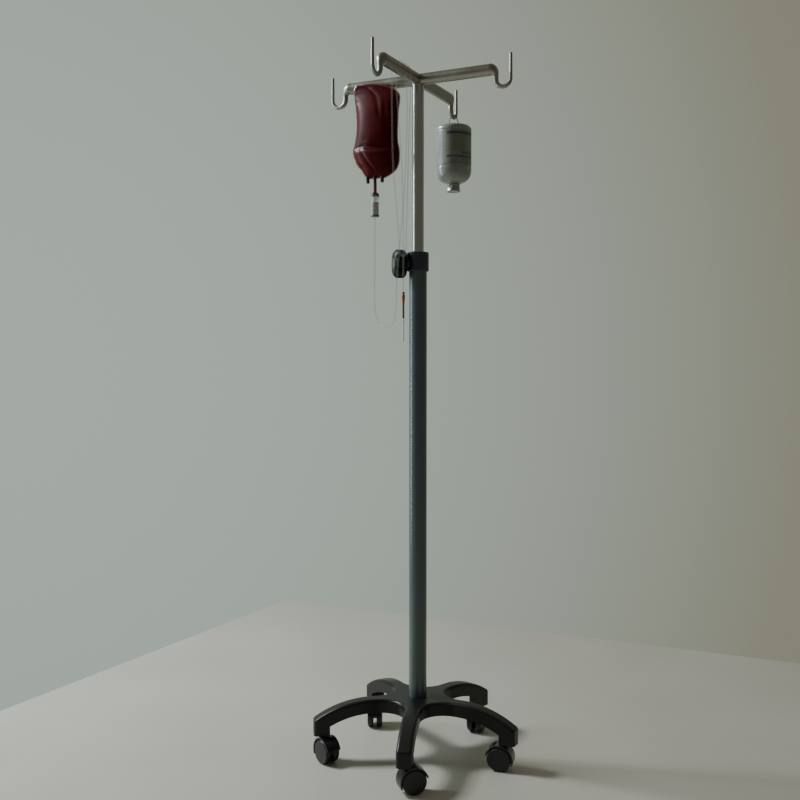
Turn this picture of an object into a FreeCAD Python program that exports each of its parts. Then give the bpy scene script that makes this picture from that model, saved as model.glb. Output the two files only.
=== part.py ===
# IV drip stand: a five-leg caster base, a telescopic pole with a clamp knob, a cross of four hooks,
# and what hangs on it: a blood bag with its drip set and line, and a bottle on a wire bail.
# Millimetres. The origin is on the pole's axis at the floor, +Z is up, +X runs along one leg.
import FreeCAD, Part
import math
import os
import re

import Sketcher
from FreeCAD import Placement, Rotation, Vector

doc = FreeCAD.newDocument("iv_drip_stand")
sheet = doc.addObject("Spreadsheet::Sheet", "sizes")

SIZES = [
    ("leg_count", 5, "legs of the star"),
    ("leg_pitch", 72, "angle from one leg to the next"),
    ("base_reach", 225, "pole axis to the end of a leg"),
    ("hub_flat", 100, "radius of the flat top of the star"),
    ("arch_rise", 39, "from a leg's end up to the flat top"),
    ("leg_depth", 28, "depth of a leg's beam"),
    ("leg_width", 32, "width of a leg"),
    ("web_radius", 50, "concave round between two legs"),
    ("leg_edge", 6, "round of the top edges"),
    ("foot_corner", 8, "round of a leg's two upright end corners"),
    ("leg_skin", 4.5, "wall of the hollow leg"),
    ("foot_height", 32, "height of a leg's end, foot block and all"),
    ("foot_length", 33, "length of the foot block"),
    ("boss_radius", 29, "hub boss under the star"),
    ("boss_depth", 39, "from the flat top down to the underside of the hub boss"),
    ("socket_wall", 10, "hub boss under the lower tube's socket"),
    ("bolt_radius", 5, "base bolt, M10"),
    ("bolt_head", 8.5, "corner radius of the bolt's head"),
    ("head_height", 6.4, "height of the bolt's head"),
    ("washer_radius", 12, "washer under the head"),
    ("washer_thick", 1.5, "thickness of the washer"),
    ("recess_depth", 5, "counterbore for the washer"),
    ("insert_length", 20, "threaded insert in the tube's foot"),
    ("fit_gap", 0.05, "gap of a pressed or glued seat"),
    ("run_gap", 0.1, "gap of a turning or sliding fit"),
    ("lower_outer", 38, "lower tube, outside diameter"),
    ("lower_wall", 1.2, "lower tube, wall"),
    ("lower_top", 1064, "top of the lower tube"),
    ("upper_outer", 25, "upper tube, outside diameter"),
    ("upper_wall", 1.5, "upper tube, wall"),
    ("upper_bottom", 545, "foot of the upper tube inside the lower one"),
    ("collar_wall", 4, "thickness of the collar on the lower tube"),
    ("collar_grip", 27, "how far the collar reaches down the lower tube"),
    ("collar_rise", 13, "how far the collar stands above the lower tube"),
    ("collar_gap", 0.4, "gap between the collar's lip and the upper tube"),
    ("collar_edge", 1, "chamfer of the collar"),
    ("bush_length", 64, "guide bush inside the lower tube"),
    ("bush_flange", 2, "flange of the guide bush"),
    ("slider_length", 30, "slider round the foot of the upper tube"),
    ("slider_floor", 5, "floor of the slider"),
    ("slider_hole", 8, "radius of the hole in the slider's floor"),
    ("clamp_drop", 11.4, "from the top of the lower tube down to the clamp screw"),
    ("clamp_heading", 216, "heading of the clamp screw"),
    ("boss_outer", 22, "boss on the collar, diameter"),
    ("boss_rise", 2, "how far the boss stands out of the collar"),
    ("nut_outer", 15, "round nut in the boss, diameter"),
    ("nut_gap", 0.6, "from the lower tube to the nut"),
    ("screw_outer", 8, "clamp screw, diameter"),
    ("shoe_outer", 9, "pressure shoe, diameter"),
    ("shoe_gap", 0.3, "from the upper tube to the shoe when the knob is slack"),
    ("shoe_length", 3, "thickness of the shoe"),
    ("knob_outer", 60, "knob, diameter over the lobes"),
    ("knob_gap", 2, "from the boss to the knob's inner face"),
    ("knob_thick", 26, "thickness of the knob"),
    ("knob_lobes", 7, "lobes of the knob"),
    ("knob_hub", 20, "hub behind the knob, diameter"),
    ("scallop_radius", 8, "hollow between two lobes"),
    ("knob_cap", 26, "cap in the knob's face, diameter"),
    ("cap_depth", 2, "depth of the cap's seat"),
    ("cross_height", 1440, "axis of the arms"),
    ("arm_outer", 24, "arm, outside diameter"),
    ("arm_wall", 1.5, "arm, wall"),
    ("arm_straight", 160.5, "pole axis to the start of the elbow"),
    ("elbow_radius", 14.3, "centreline radius of the elbow"),
    ("hook_drop", 21, "from the arm's axis to the centre of the hook's bend"),
    ("hook_radius", 16, "centreline radius of the hook's bend"),
    ("hook_rise", 27, "from the arm's axis up to the top of the hook's straight part"),
    ("neck_radius", 5.4, "rod at the end of the elbow"),
    ("bend_radius", 4.4, "rod at the bottom of the hook"),
    ("tip_radius", 3, "rod at the hook's tip"),
    ("stem_inset", 20, "from a leg's end back to the caster's stem"),
    ("sleeve_outer", 14, "stem sleeve, diameter"),
    ("sleeve_length", 28, "stem sleeve, length"),
    ("stem_outer", 11, "stem in the sleeve, diameter"),
    ("stem_flange", 17, "flange of the stem, diameter"),
    ("flange_thick", 0.8, "flange of the stem, thickness"),
    ("pivot_outer", 9.6, "stem in the hood, diameter"),
    ("pivot_neck", 6.2, "lower end of the stem, diameter"),
    ("neck_length", 11, "length of the stem's lower end"),
    ("hood_boss_rise", 0.5, "how far the hood's boss stands above the hood"),
    ("stem_gap", 1, "from the hood's boss to the foot block"),
    ("hood_boss", 17, "hood's boss, diameter"),
    ("boss_length", 5.4, "length of the hood's boss"),
    ("caster_trail", 16, "stem axis to the axle, level"),
    ("wheel_outer", 50, "wheel, diameter"),
    ("wheel_width", 12.2, "width of one wheel"),
    ("wheel_gap", 8.6, "gap between the two wheels"),
    ("wheel_edge", 2, "chamfer of the tread"),
    ("rim_depth", 5.5, "thickness of the rim"),
    ("disc_thick", 3, "thickness of the wheel's face"),
    ("axle_cover", 1.6, "wheel's face over the end of the axle"),
    ("wheel_hub", 14, "hub of the wheel, diameter"),
    ("axle_outer", 6, "axle, diameter"),
    ("hood_gap", 1.5, "gap between the wheel and its hood"),
    ("hood_thick", 3, "thickness of the hood"),
    ("hood_width", 32, "width of the hood"),
    ("hood_front", 24, "how far the hood reaches below the axle on the stem's side, degrees"),
    ("hood_back", 166, "where the hood's lip ends on the other side, degrees"),
    ("web_thick", 7.6, "plate between the wheels"),
    ("bottle_outer", 82.6, "bottle, diameter"),
    ("pivot_rise", 2.2, "from the bottle's top up to the bail's pivots"),
    ("bottle_round", 20, "round of the bottle's top"),
    ("bottle_side", 129, "from the bottle's top to where the shoulder's lines cross"),
    ("shoulder_round", 24, "round of the shoulder"),
    ("neck_outer", 28, "bottle's neck, diameter"),
    ("shoulder_drop", 4, "slope of the shoulder"),
    ("throat_length", 8, "from the shoulder to the cap"),
    ("cap_outer", 31.4, "bottle's cap, diameter"),
    ("cap_height", 11, "height of the cap"),
    ("lug_width", 20, "lug on the bottle, width"),
    ("lug_depth", 7, "lug on the bottle, depth"),
    ("lug_height", 3.8, "lug on the bottle, height"),
    ("bail_wire", 1.8, "bail's wire, diameter"),
    ("bail_spread", 12.4, "half the bail's width at the lug"),
    ("bail_drop", 51.8, "from the arms' axis down to the bail's pivots"),
    ("bag_left", -144, "outer edge of the bag"),
    ("bag_width", 106, "width of the bag"),
    ("bag_height", 201, "height of the bag"),
    ("bag_rise", 2, "from the arm's axis up to the bag's top"),
    ("bag_depth", 36, "thickness of the full bag"),
    ("strap_thick", 0.9, "hanging strap, thickness"),
    ("strap_width", 16, "hanging strap, width"),
    ("strap_place", -124, "centre of the strap along the arm"),
    ("port_outer", 7, "bag's ports, diameter"),
    ("port_pitch", 17, "from one port to the next"),
    ("port_length", 12, "length of a port"),
    ("set_place", -95, "drip set's place along the arm"),
    ("spike_outer", 7.5, "spike, diameter"),
    ("spike_length", 25, "spike, length"),
    ("spike_flange", 16, "flange of the spike, diameter"),
    ("flange_depth", 3, "thickness of the spike's flange"),
    ("chamber_outer", 17.4, "drip chamber, diameter"),
    ("chamber_length", 47, "drip chamber, length"),
    ("chamber_wall", 0.9, "drip chamber, wall"),
    ("fluid_height", 29, "height of the fluid in the chamber"),
    ("outlet_outer", 5, "outlet of the chamber, diameter"),
    ("outlet_length", 3, "outlet of the chamber, length"),
    ("line_outer", 4, "infusion line, diameter"),
    ("hub_outer", 7, "needle hub, diameter"),
    ("hub_length", 32, "needle hub, length"),
    ("mount_outer", 4.4, "needle mount, diameter"),
    ("mount_length", 22, "needle mount, length"),
    ("sheath_outer", 2.6, "needle sheath, diameter"),
    ("sheath_length", 48, "needle sheath, length"),
]

for row, (alias, number, note) in enumerate(SIZES, start=1):
    sheet.set("A%d" % row, note)
    sheet.set("B%d" % row, str(number))
    sheet.setAlias("B%d" % row, alias)
doc.recompute()

# Places that follow from the sizes, each from the piece that it rests on, fits or hangs from.
PLACES = {
    "hood_top": "wheel_outer + hood_gap + hood_thick + hood_boss_rise",
    "foot_bottom": "hood_top + stem_gap",
    "leg_end_top": "foot_bottom + foot_height",
    "hub_top": "leg_end_top + arch_rise",
    "stem_circle": "base_reach - stem_inset",
    "boss_bottom": "hub_top - boss_depth",
    "socket_floor": "boss_bottom + socket_wall",
    "collar_outer": "lower_outer + 2 * collar_wall",
    "collar_bottom": "lower_top - collar_grip",
    "collar_top": "lower_top + collar_rise",
    "clamp_height": "lower_top - clamp_drop",
    "boss_reach": "collar_outer / 2 + boss_rise",
    "nut_start": "lower_outer / 2 + nut_gap",
    "shoe_start": "upper_outer / 2 + shoe_gap",
    "knob_start": "boss_reach + knob_gap",
    "hook_tip": "cross_height + hook_rise",
    "bail_height": "cross_height - bail_drop",
    "bottle_top": "bail_height - pivot_rise",
    "shoulder_height": "bottle_top - bottle_side",
    "neck_top": "shoulder_height - shoulder_drop",
    "neck_bottom": "neck_top - throat_length",
    "cap_bottom": "neck_bottom - cap_height",
    "bag_bottom": "cross_height + bag_rise - bag_height",
}
ALIASES = {alias for alias, number, note in SIZES}
NODES = []


def formula(text):
    """A formula in sheet names and places, as an expression of the document."""
    def spelled(word):
        name = word.group()
        if name in PLACES:
            return "(" + formula(PLACES[name]) + ")"
        return "sizes." + name if name in ALIASES else name

    return re.sub(r"[a-z_]+", spelled, text)


def value(text):
    """The number that such a formula comes to."""
    result = sheet.evalExpression(formula(text))
    return float(getattr(result, "Value", result))


def bind(item, name, text):
    item.setExpression(name, formula(text))


def place(item, x="0", y="0", z="0", turn=None):
    item.Placement = Placement(Vector(value(x), value(y), value(z)), turn or Rotation())
    for letter, text in (("x", x), ("y", y), ("z", z)):
        if text != "0":
            bind(item, "Placement.Base." + letter, text)
    return item


def keep(item, label):
    """Names the finished sub-part, which is then written to a file of that name."""
    item.Label = label
    NODES.append(item)
    return item


# --- ways of making a solid ---------------------------------------------------------------------


def outline(body, name, points):
    """A closed outline of straight lines on the body's XZ plane, each corner tied to the sheet."""
    sketch = body.newObject("Sketcher::SketchObject", name)
    plane = [item for item in body.Origin.OriginFeatures if item.Role == "XZ_Plane"][0]
    sketch.AttachmentSupport = [(plane, "")]
    sketch.MapMode = "FlatFace"
    corners = [Vector(value(x), value(y), 0) for x, y in points]
    count = len(corners)
    for index, corner in enumerate(corners):
        sketch.addGeometry(Part.LineSegment(corner, corners[(index + 1) % count]), False)
    for index in range(count):
        sketch.addConstraint(Sketcher.Constraint("Coincident", index, 2, (index + 1) % count, 1))
    for index, (x, y) in enumerate(points):
        for kind, text in (("DistanceX", x), ("DistanceY", y)):
            rule = Sketcher.Constraint(kind, -1, 1, index, 1, value(text))
            number = sketch.addConstraint(rule)
            sketch.setExpression("Constraints[%d]" % number, formula(text))
    return sketch


def turned(name, points):
    """A body turned about its own Z axis from an outline of (radius, height) corners."""
    body = doc.addObject("PartDesign::Body", name)
    sketch = outline(body, name + "_outline", points)
    turn = body.newObject("PartDesign::Revolution", name + "_turn")
    turn.Profile = sketch
    turn.ReferenceAxis = (sketch, ["V_Axis"])
    turn.Angle = 360
    doc.recompute()
    return body


def rounded(body, corners, radius):
    """Rounds the turned body's circular edges that lie at the given (radius, height) corners."""
    tip = body.Tip
    wanted = [(value(r), value(z)) for r, z in corners]
    names = []
    for number, edge in enumerate(tip.Shape.Edges, start=1):
        spots = [(math.hypot(v.Point.x, v.Point.y), v.Point.z) for v in edge.Vertexes]
        if all(any(math.dist(spot, goal) < 1e-4 for goal in wanted) for spot in spots):
            names.append("Edge%d" % number)
    fillet = body.newObject("PartDesign::Fillet", body.Name + "_round")
    fillet.Base = (tip, names)
    bind(fillet, "Radius", radius)
    doc.recompute()
    return body


def cylinder(name, radius, height, x="0", y="0", z="0", turn=None):
    item = doc.addObject("Part::Cylinder", name)
    bind(item, "Radius", radius)
    bind(item, "Height", height)
    return place(item, x, y, z, turn)


def box(name, length, width, height, x="0", y="0", z="0", turn=None):
    item = doc.addObject("Part::Box", name)
    bind(item, "Length", length)
    bind(item, "Width", width)
    bind(item, "Height", height)
    return place(item, x, y, z, turn)


def cut(name, base, *tools):
    """The base less every tool, each tool in a cut of its own."""
    for number, tool in enumerate(tools):
        result = doc.addObject("Part::Cut", "%s_cut_%d" % (name, number))
        result.Base = base
        result.Tool = tool
        base = result
    return base


def joined(name, *items):
    result = doc.addObject("Part::MultiFuse", name + "_joined")
    result.Shapes = list(items)
    return result


def plain(name, shape):
    """A shape made with Part's own functions, for what no feature makes."""
    item = doc.addObject("Part::Feature", name)
    item.Shape = shape
    return item


def polar(radius, heading, height=0.0):
    angle = math.radians(heading)
    return Vector(radius * math.cos(angle), radius * math.sin(angle), height)


def route(points):
    """Straight runs joined by tangent arcs; gives the wire and the arcs' radii."""
    corners = [Vector(*point) for point in points]
    edges = []
    radii = []
    start = corners[0]
    for before, corner, after in zip(corners, corners[1:], corners[2:]):
        back = (before - corner).normalize()
        ahead = (after - corner).normalize()
        half_turn = (math.pi - back.getAngle(ahead)) / 2
        length = 0.45 * min((before - corner).Length, (after - corner).Length)
        radius = length / math.tan(half_turn)
        middle = (back + ahead).normalize() * (radius / math.cos(half_turn) - radius)
        edges.append(Part.LineSegment(start, corner + back * length).toShape())
        edges.append(Part.Arc(corner + back * length, corner + middle, corner + ahead * length).toShape())
        radii.append(radius)
        start = corner + ahead * length
    edges.append(Part.LineSegment(start, corners[-1]).toShape())
    return Part.Wire(edges), radii


def tube(points, diameter):
    """A round solid along a route; prints its length and its tightest arc."""
    wire, radii = route(points)
    first = Vector(*points[0])
    ahead = (Vector(*points[1]) - first).normalize()
    ring = Part.Wire(Part.makeCircle(diameter / 2, first, ahead))
    solid = wire.makePipeShell([ring], True, False, 2)
    share = solid.Volume / (math.pi * diameter ** 2 / 4 * wire.Length)
    print("tube: length %.1f, tightest arc %.1f, volume share %.4f" % (wire.Length, min(radii), share))
    print("  arcs: " + " ".join("%.0f" % radius for radius in radii))
    return solid


# --- base ---------------------------------------------------------------------------------------


def star_face(half_width, web_radius, reach):
    """The star seen from above: straight legs joined by concave rounds."""
    count = int(value("leg_count"))
    half_pitch = math.radians(value("leg_pitch") / 2)
    web_centre = (web_radius + half_width) / math.sin(half_pitch)
    web_end = (web_radius + half_width) / math.tan(half_pitch)
    edges = []
    for leg in range(count):
        spin = Rotation(Vector(0, 0, 1), leg * value("leg_pitch"))
        next_spin = Rotation(Vector(0, 0, 1), (leg + 1) * value("leg_pitch"))
        right = spin.multVec(Vector(reach, -half_width, 0))
        left = spin.multVec(Vector(reach, half_width, 0))
        web_start = spin.multVec(Vector(web_end, half_width, 0))
        web_middle = polar(web_centre - web_radius, (leg + 0.5) * value("leg_pitch"))
        web_stop = next_spin.multVec(Vector(web_end, -half_width, 0))
        edges.append(Part.LineSegment(spin.multVec(Vector(web_end, -half_width, 0)), right).toShape())
        edges.append(Part.LineSegment(right, left).toShape())
        edges.append(Part.LineSegment(left, web_start).toShape())
        edges.append(Part.Arc(web_start, web_middle, web_stop).toShape())
    return Part.Face(Part.Wire(Part.__sortEdges__(edges)))


def arch_radius():
    """Radius of the arch that drops from the hub's flat top to a leg's end."""
    run = value("base_reach - hub_flat")
    drop = value("hub_top - leg_end_top")
    return (run ** 2 + drop ** 2) / (2 * drop)


def arch_height(radius, distance):
    centre = value("hub_top") - arch_radius()
    out = distance - value("hub_flat")
    return centre + math.sqrt(radius ** 2 - out ** 2) if out > 0 else centre + radius


def arch_solid(top_drop, under_drop, reach, foot_start, foot_low):
    """The star's side view turned about the pole: flat, arch, and the foot block where there is one."""
    flat = value("hub_flat")
    upper = arch_radius() - top_drop
    under = arch_radius() - under_drop

    def spot(radius, distance):
        return Vector(distance, 0, arch_height(radius, distance))

    def arc(radius, start, stop):
        return Part.Arc(spot(radius, start), spot(radius, (start + stop) / 2), spot(radius, stop)).toShape()

    def line(start, stop):
        return Part.LineSegment(start, stop).toShape()

    centre_top = Vector(0, 0, arch_height(upper, 0))
    centre_low = Vector(0, 0, arch_height(under, 0))
    edges = [line(centre_top, spot(upper, flat)), arc(upper, flat, reach)]
    if foot_low is None:
        edges.append(line(spot(upper, reach), spot(under, reach)))
        edges.append(arc(under, reach, flat))
    else:
        edges.append(line(spot(upper, reach), Vector(reach, 0, foot_low)))
        edges.append(line(Vector(reach, 0, foot_low), Vector(foot_start, 0, foot_low)))
        edges.append(line(Vector(foot_start, 0, foot_low), spot(under, foot_start)))
        edges.append(arc(under, foot_start, flat))
    edges.append(line(spot(under, flat), centre_low))
    edges.append(line(centre_low, centre_top))
    return Part.Face(Part.Wire(edges)).revolve(Vector(0, 0, 0), Vector(0, 0, 1), 360)


def top_edges(star):
    """The edges where the star's top surface meets its sides and ends."""
    def on_top(point):
        return abs(point.z - arch_height(arch_radius(), math.hypot(point.x, point.y))) < 0.01

    found = []
    for edge in star.Edges:
        middle = edge.valueAt((edge.FirstParameter + edge.LastParameter) / 2)
        if on_top(middle) and all(on_top(vertex.Point) for vertex in edge.Vertexes):
            found.append(edge)
    return found


def end_corners(star):
    """The two upright edges at the end of each leg."""
    reach = value("base_reach")

    def at_end(vertex):
        return abs(math.hypot(vertex.X, vertex.Y) - reach) < 0.01

    return [edge for edge in star.Edges
            if all(at_end(vertex) for vertex in edge.Vertexes)
            and abs(edge.tangentAt(edge.FirstParameter).z) > 0.99]


def make_base_star():
    """One nylon moulding: arched hollow legs, a foot block at each end and a boss under the hub."""
    height = value("hub_top") + 10
    reach = value("base_reach")
    foot_start = value("base_reach - foot_length")
    skin = value("leg_skin")
    half_width = value("leg_width / 2")
    prism = star_face(half_width, value("web_radius"), reach + 20).extrude(Vector(0, 0, height))
    solid = arch_solid(0, value("leg_depth"), reach, foot_start, value("foot_bottom"))
    star = solid.common(prism).removeSplitter()
    star = star.makeFillet(value("foot_corner"), end_corners(star))
    star = star.makeFillet(value("leg_edge"), top_edges(star))
    inner = star_face(half_width - skin, value("web_radius") + skin, reach).extrude(Vector(0, 0, height))
    hollow = arch_solid(skin, value("leg_depth") + 10, foot_start - skin, 0, None).common(inner)
    core = Part.makeCylinder(value("boss_radius") + skin, height)
    star = star.cut(hollow.cut(core))
    boss_height = value("hub_top - leg_depth - boss_bottom") + 1
    star = star.fuse(Part.makeCylinder(value("boss_radius"), boss_height, Vector(0, 0, value("boss_bottom"))))
    floor = Vector(0, 0, value("socket_floor"))
    star = star.cut(Part.makeCylinder(value("lower_outer / 2 + fit_gap"), height, floor))
    star = star.cut(Part.makeCylinder(value("bolt_radius + 0.3"), height))
    recess = Part.makeCylinder(value("washer_radius + 1"), value("recess_depth"), Vector(0, 0, value("boss_bottom")))
    star = star.cut(recess)
    for leg in range(int(value("leg_count"))):
        seat = polar(value("stem_circle"), leg * value("leg_pitch"), value("foot_bottom"))
        star = star.cut(Part.makeCylinder(value("sleeve_outer / 2 + fit_gap"), value("sleeve_length"), seat))
    keep(plain("base_star", star.removeSplitter()), "base_star")


def make_base_bolt():
    """Washer, hexagon bolt from below, and the threaded insert in the tube's foot."""
    seat = "boss_bottom + recess_depth - washer_thick"
    washer = cut("washer", cylinder("washer_disc", "washer_radius", "washer_thick", z=seat),
                 cylinder("washer_hole", "bolt_radius + 0.3", "washer_thick", z=seat))
    keep(washer, "base_washer")
    head = doc.addObject("Part::Prism", "bolt_head_prism")
    head.Polygon = 6
    bind(head, "Circumradius", "bolt_head")
    bind(head, "Height", "head_height")
    place(head, z=seat + " - head_height")
    shank = cylinder("bolt_shank", "bolt_radius", "socket_floor + insert_length + 8 - boss_bottom", z=seat)
    keep(joined("bolt", head, shank), "base_bolt")
    insert = turned("tube_insert", [
        ("bolt_radius + fit_gap", "0"),
        ("lower_outer / 2 - lower_wall - fit_gap", "0"),
        ("lower_outer / 2 - lower_wall - fit_gap", "insert_length"),
        ("bolt_radius + fit_gap", "insert_length"),
    ])
    keep(place(insert, z="socket_floor + 4"), "tube_foot_insert")


# --- pole ---------------------------------------------------------------------------------------


def clamp_turn():
    """Turns a body's own Z axis to point out along the clamp screw."""
    return Rotation(Vector(0, 0, 1), polar(1, value("clamp_heading")))


def clamp_hole(name, radius):
    return cylinder(name, radius, "boss_reach + 20", z="clamp_height", turn=clamp_turn())


def make_lower_tube():
    wall = turned("lower_wall_ring", [
        ("lower_outer / 2 - lower_wall", "socket_floor"),
        ("lower_outer / 2", "socket_floor"),
        ("lower_outer / 2", "lower_top"),
        ("lower_outer / 2 - lower_wall", "lower_top"),
    ])
    keep(cut("lower_tube", wall, clamp_hole("lower_hole", "shoe_outer / 2 + 2 * run_gap")), "lower_tube")


def make_collar():
    """The plastic collar on the lower tube's end, with the boss that holds the clamp screw's nut."""
    seat = "lower_outer / 2 + fit_gap"
    lip = "upper_outer / 2 + collar_gap"
    ring = turned("collar_ring", [
        (seat, "collar_bottom"),
        ("collar_outer / 2 - collar_edge", "collar_bottom"),
        ("collar_outer / 2", "collar_bottom + collar_edge"),
        ("collar_outer / 2", "collar_top - collar_edge"),
        ("collar_outer / 2 - collar_edge", "collar_top"),
        (lip, "collar_top"),
        (lip, "lower_top + bush_flange + run_gap"),
        (seat, "lower_top + bush_flange + run_gap"),
    ])
    boss = cylinder("collar_boss", "boss_outer / 2", "boss_reach", z="clamp_height", turn=clamp_turn())
    core = cylinder("collar_core", seat, "lower_top + bush_flange + run_gap - collar_bottom", z="collar_bottom")
    body = cut("collar", joined("collar_blank", ring, boss), core, clamp_hole("nut_hole", "nut_outer / 2 + fit_gap"))
    keep(body, "clamp_collar")
    nut = turned("nut_ring", [
        ("screw_outer / 2 + run_gap", "nut_start"),
        ("nut_outer / 2", "nut_start"),
        ("nut_outer / 2", "boss_reach - 0.2"),
        ("screw_outer / 2 + run_gap", "boss_reach - 0.2"),
    ])
    keep(place(nut, z="clamp_height", turn=clamp_turn()), "clamp_nut")


def make_guide_bush():
    """The flanged plastic bush in the lower tube's mouth, in which the upper tube slides."""
    bore = "upper_outer / 2 + run_gap"
    outer = "lower_outer / 2 - lower_wall - fit_gap"
    ring = turned("bush_ring", [
        (bore, "lower_top + bush_flange"),
        (bore, "lower_top - bush_length"),
        (outer, "lower_top - bush_length"),
        (outer, "lower_top"),
        ("lower_outer / 2 - 0.5", "lower_top"),
        ("lower_outer / 2 - 0.5", "lower_top + bush_flange"),
    ])
    keep(cut("guide_bush", ring, clamp_hole("bush_hole", "shoe_outer / 2 + 2 * run_gap")), "guide_bush")


def make_slider():
    """The plastic slider round the upper tube's foot; the tube turns in it and it slides in the lower tube."""
    outer = "lower_outer / 2 - lower_wall - run_gap - fit_gap"
    cup = turned("slider_cup", [
        ("slider_hole", "0 - slider_floor"),
        (outer, "0 - slider_floor"),
        (outer, "slider_length - slider_floor"),
        ("upper_outer / 2 + run_gap", "slider_length - slider_floor"),
        ("upper_outer / 2 + run_gap", "0 - run_gap"),
        ("slider_hole", "0 - run_gap"),
    ])
    keep(place(cup, z="upper_bottom"), "pole_slider")


def make_upper_tube():
    """The upper tube, coped at its top to sit against the crossed arms."""
    wall = turned("upper_wall_ring", [
        ("upper_outer / 2 - upper_wall", "upper_bottom"),
        ("upper_outer / 2", "upper_bottom"),
        ("upper_outer / 2", "cross_height"),
        ("upper_outer / 2 - upper_wall", "cross_height"),
    ])
    span = "upper_outer"
    half = "0 - upper_outer / 2"
    along_x = cylinder("cope_x", "arm_outer / 2", span, x=half, z="cross_height",
                       turn=Rotation(Vector(0, 0, 1), Vector(1, 0, 0)))
    along_y = cylinder("cope_y", "arm_outer / 2", span, y=half, z="cross_height",
                       turn=Rotation(Vector(0, 0, 1), Vector(0, 1, 0)))
    keep(cut("upper_tube", wall, along_x, along_y), "upper_tube")


def rod_stations():
    """Centre, heading and radius of the rod's rings, from the arm's end to the end of the hook's bend.

    The heading is the rod's direction in the arm's own plane: level (0), straight down (-90) after
    the elbow, and straight up (90) after the bend.
    """
    elbow = value("elbow_radius")
    start = Vector(value("arm_straight"), 0, 0)
    shares = ((0, 0.0), (25, 0.07), (50, 0.42), (75, 0.88), (90, 1.0))
    arm = value("arm_outer / 2")
    neck = value("neck_radius")
    stations = []
    for angle, share in shares:
        turn = math.radians(angle)
        centre = start + Vector(elbow * math.sin(turn), 0, elbow * (math.cos(turn) - 1))
        stations.append((centre, -angle, arm + share * (neck - arm)))
    bend = value("hook_radius")
    bend_centre = start + Vector(elbow + bend, 0, -value("hook_drop"))
    steps = 6
    for step in range(steps + 1):
        angle = 180 * step / steps
        turn = math.radians(angle)
        centre = bend_centre + Vector(-bend * math.cos(turn), 0, -bend * math.sin(turn))
        middle = value("bend_radius")
        if step <= steps / 2:
            radius = neck + (middle - neck) * step / (steps / 2)
        else:
            radius = middle + (value("tip_radius") + 0.5 - middle) * (step - steps / 2) / (steps / 2)
        stations.append((centre, -90 + angle, radius))
    return stations


def ring_wire(centre, heading, radius):
    """A ring square to the heading, with its seam always on the same side of the arm's plane."""
    side = Vector(0, 1, 0)
    angle = math.radians(heading)
    up = Vector(-math.sin(angle), 0, math.cos(angle))
    spots = [centre + (side * math.cos(turn) + up * math.sin(turn)) * radius
             for turn in (0, math.pi / 2, math.pi, 3 * math.pi / 2)]
    first = Part.Arc(spots[0], spots[1], spots[2]).toShape()
    second = Part.Arc(spots[2], spots[3], spots[0]).toShape()
    return Part.Wire([first, second])


def arm_shape():
    """One arm on its own +X axis: a tube that closes into a tapered hook."""
    radius = value("arm_outer / 2")
    along = Vector(1, 0, 0)
    straight = value("arm_straight")
    pipe = Part.makeCylinder(radius, straight, Vector(0, 0, 0), along)
    stations = rod_stations()
    rod = Part.makeLoft([ring_wire(*station) for station in stations], True, False)
    bend_end, bend_heading, end_radius = stations[-1]
    tip_centre = Vector(bend_end.x, 0, value("hook_tip - cross_height"))
    upright = Part.makeCone(end_radius, value("tip_radius"), tip_centre.z - bend_end.z, bend_end)
    tip = Part.makeSphere(value("tip_radius"), tip_centre)
    bore = Part.makeCylinder(radius - value("arm_wall"), straight - radius, Vector(0, 0, 0), along)
    return pipe.fuse([rod, upright, tip]).cut(bore)


ARMS = (("right", 0), ("far", 90), ("left", 180), ("near", 270))


def make_arms():
    """Four arms: far and near meet end to end, right and left are coped against them."""
    shape = arm_shape()
    through = Part.makeCylinder(value("arm_outer / 2"), 4 * value("arm_outer"),
                                Vector(0, -2 * value("arm_outer"), 0), Vector(0, 1, 0))
    for name, heading in ARMS:
        coped = shape.cut(through) if name in ("right", "left") else shape
        item = plain("hook_arm_" + name, coped)
        place(item, z="cross_height", turn=Rotation(Vector(0, 0, 1), heading))
        keep(item, "hook_arm_" + name)


# --- clamp --------------------------------------------------------------------------------------


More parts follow.
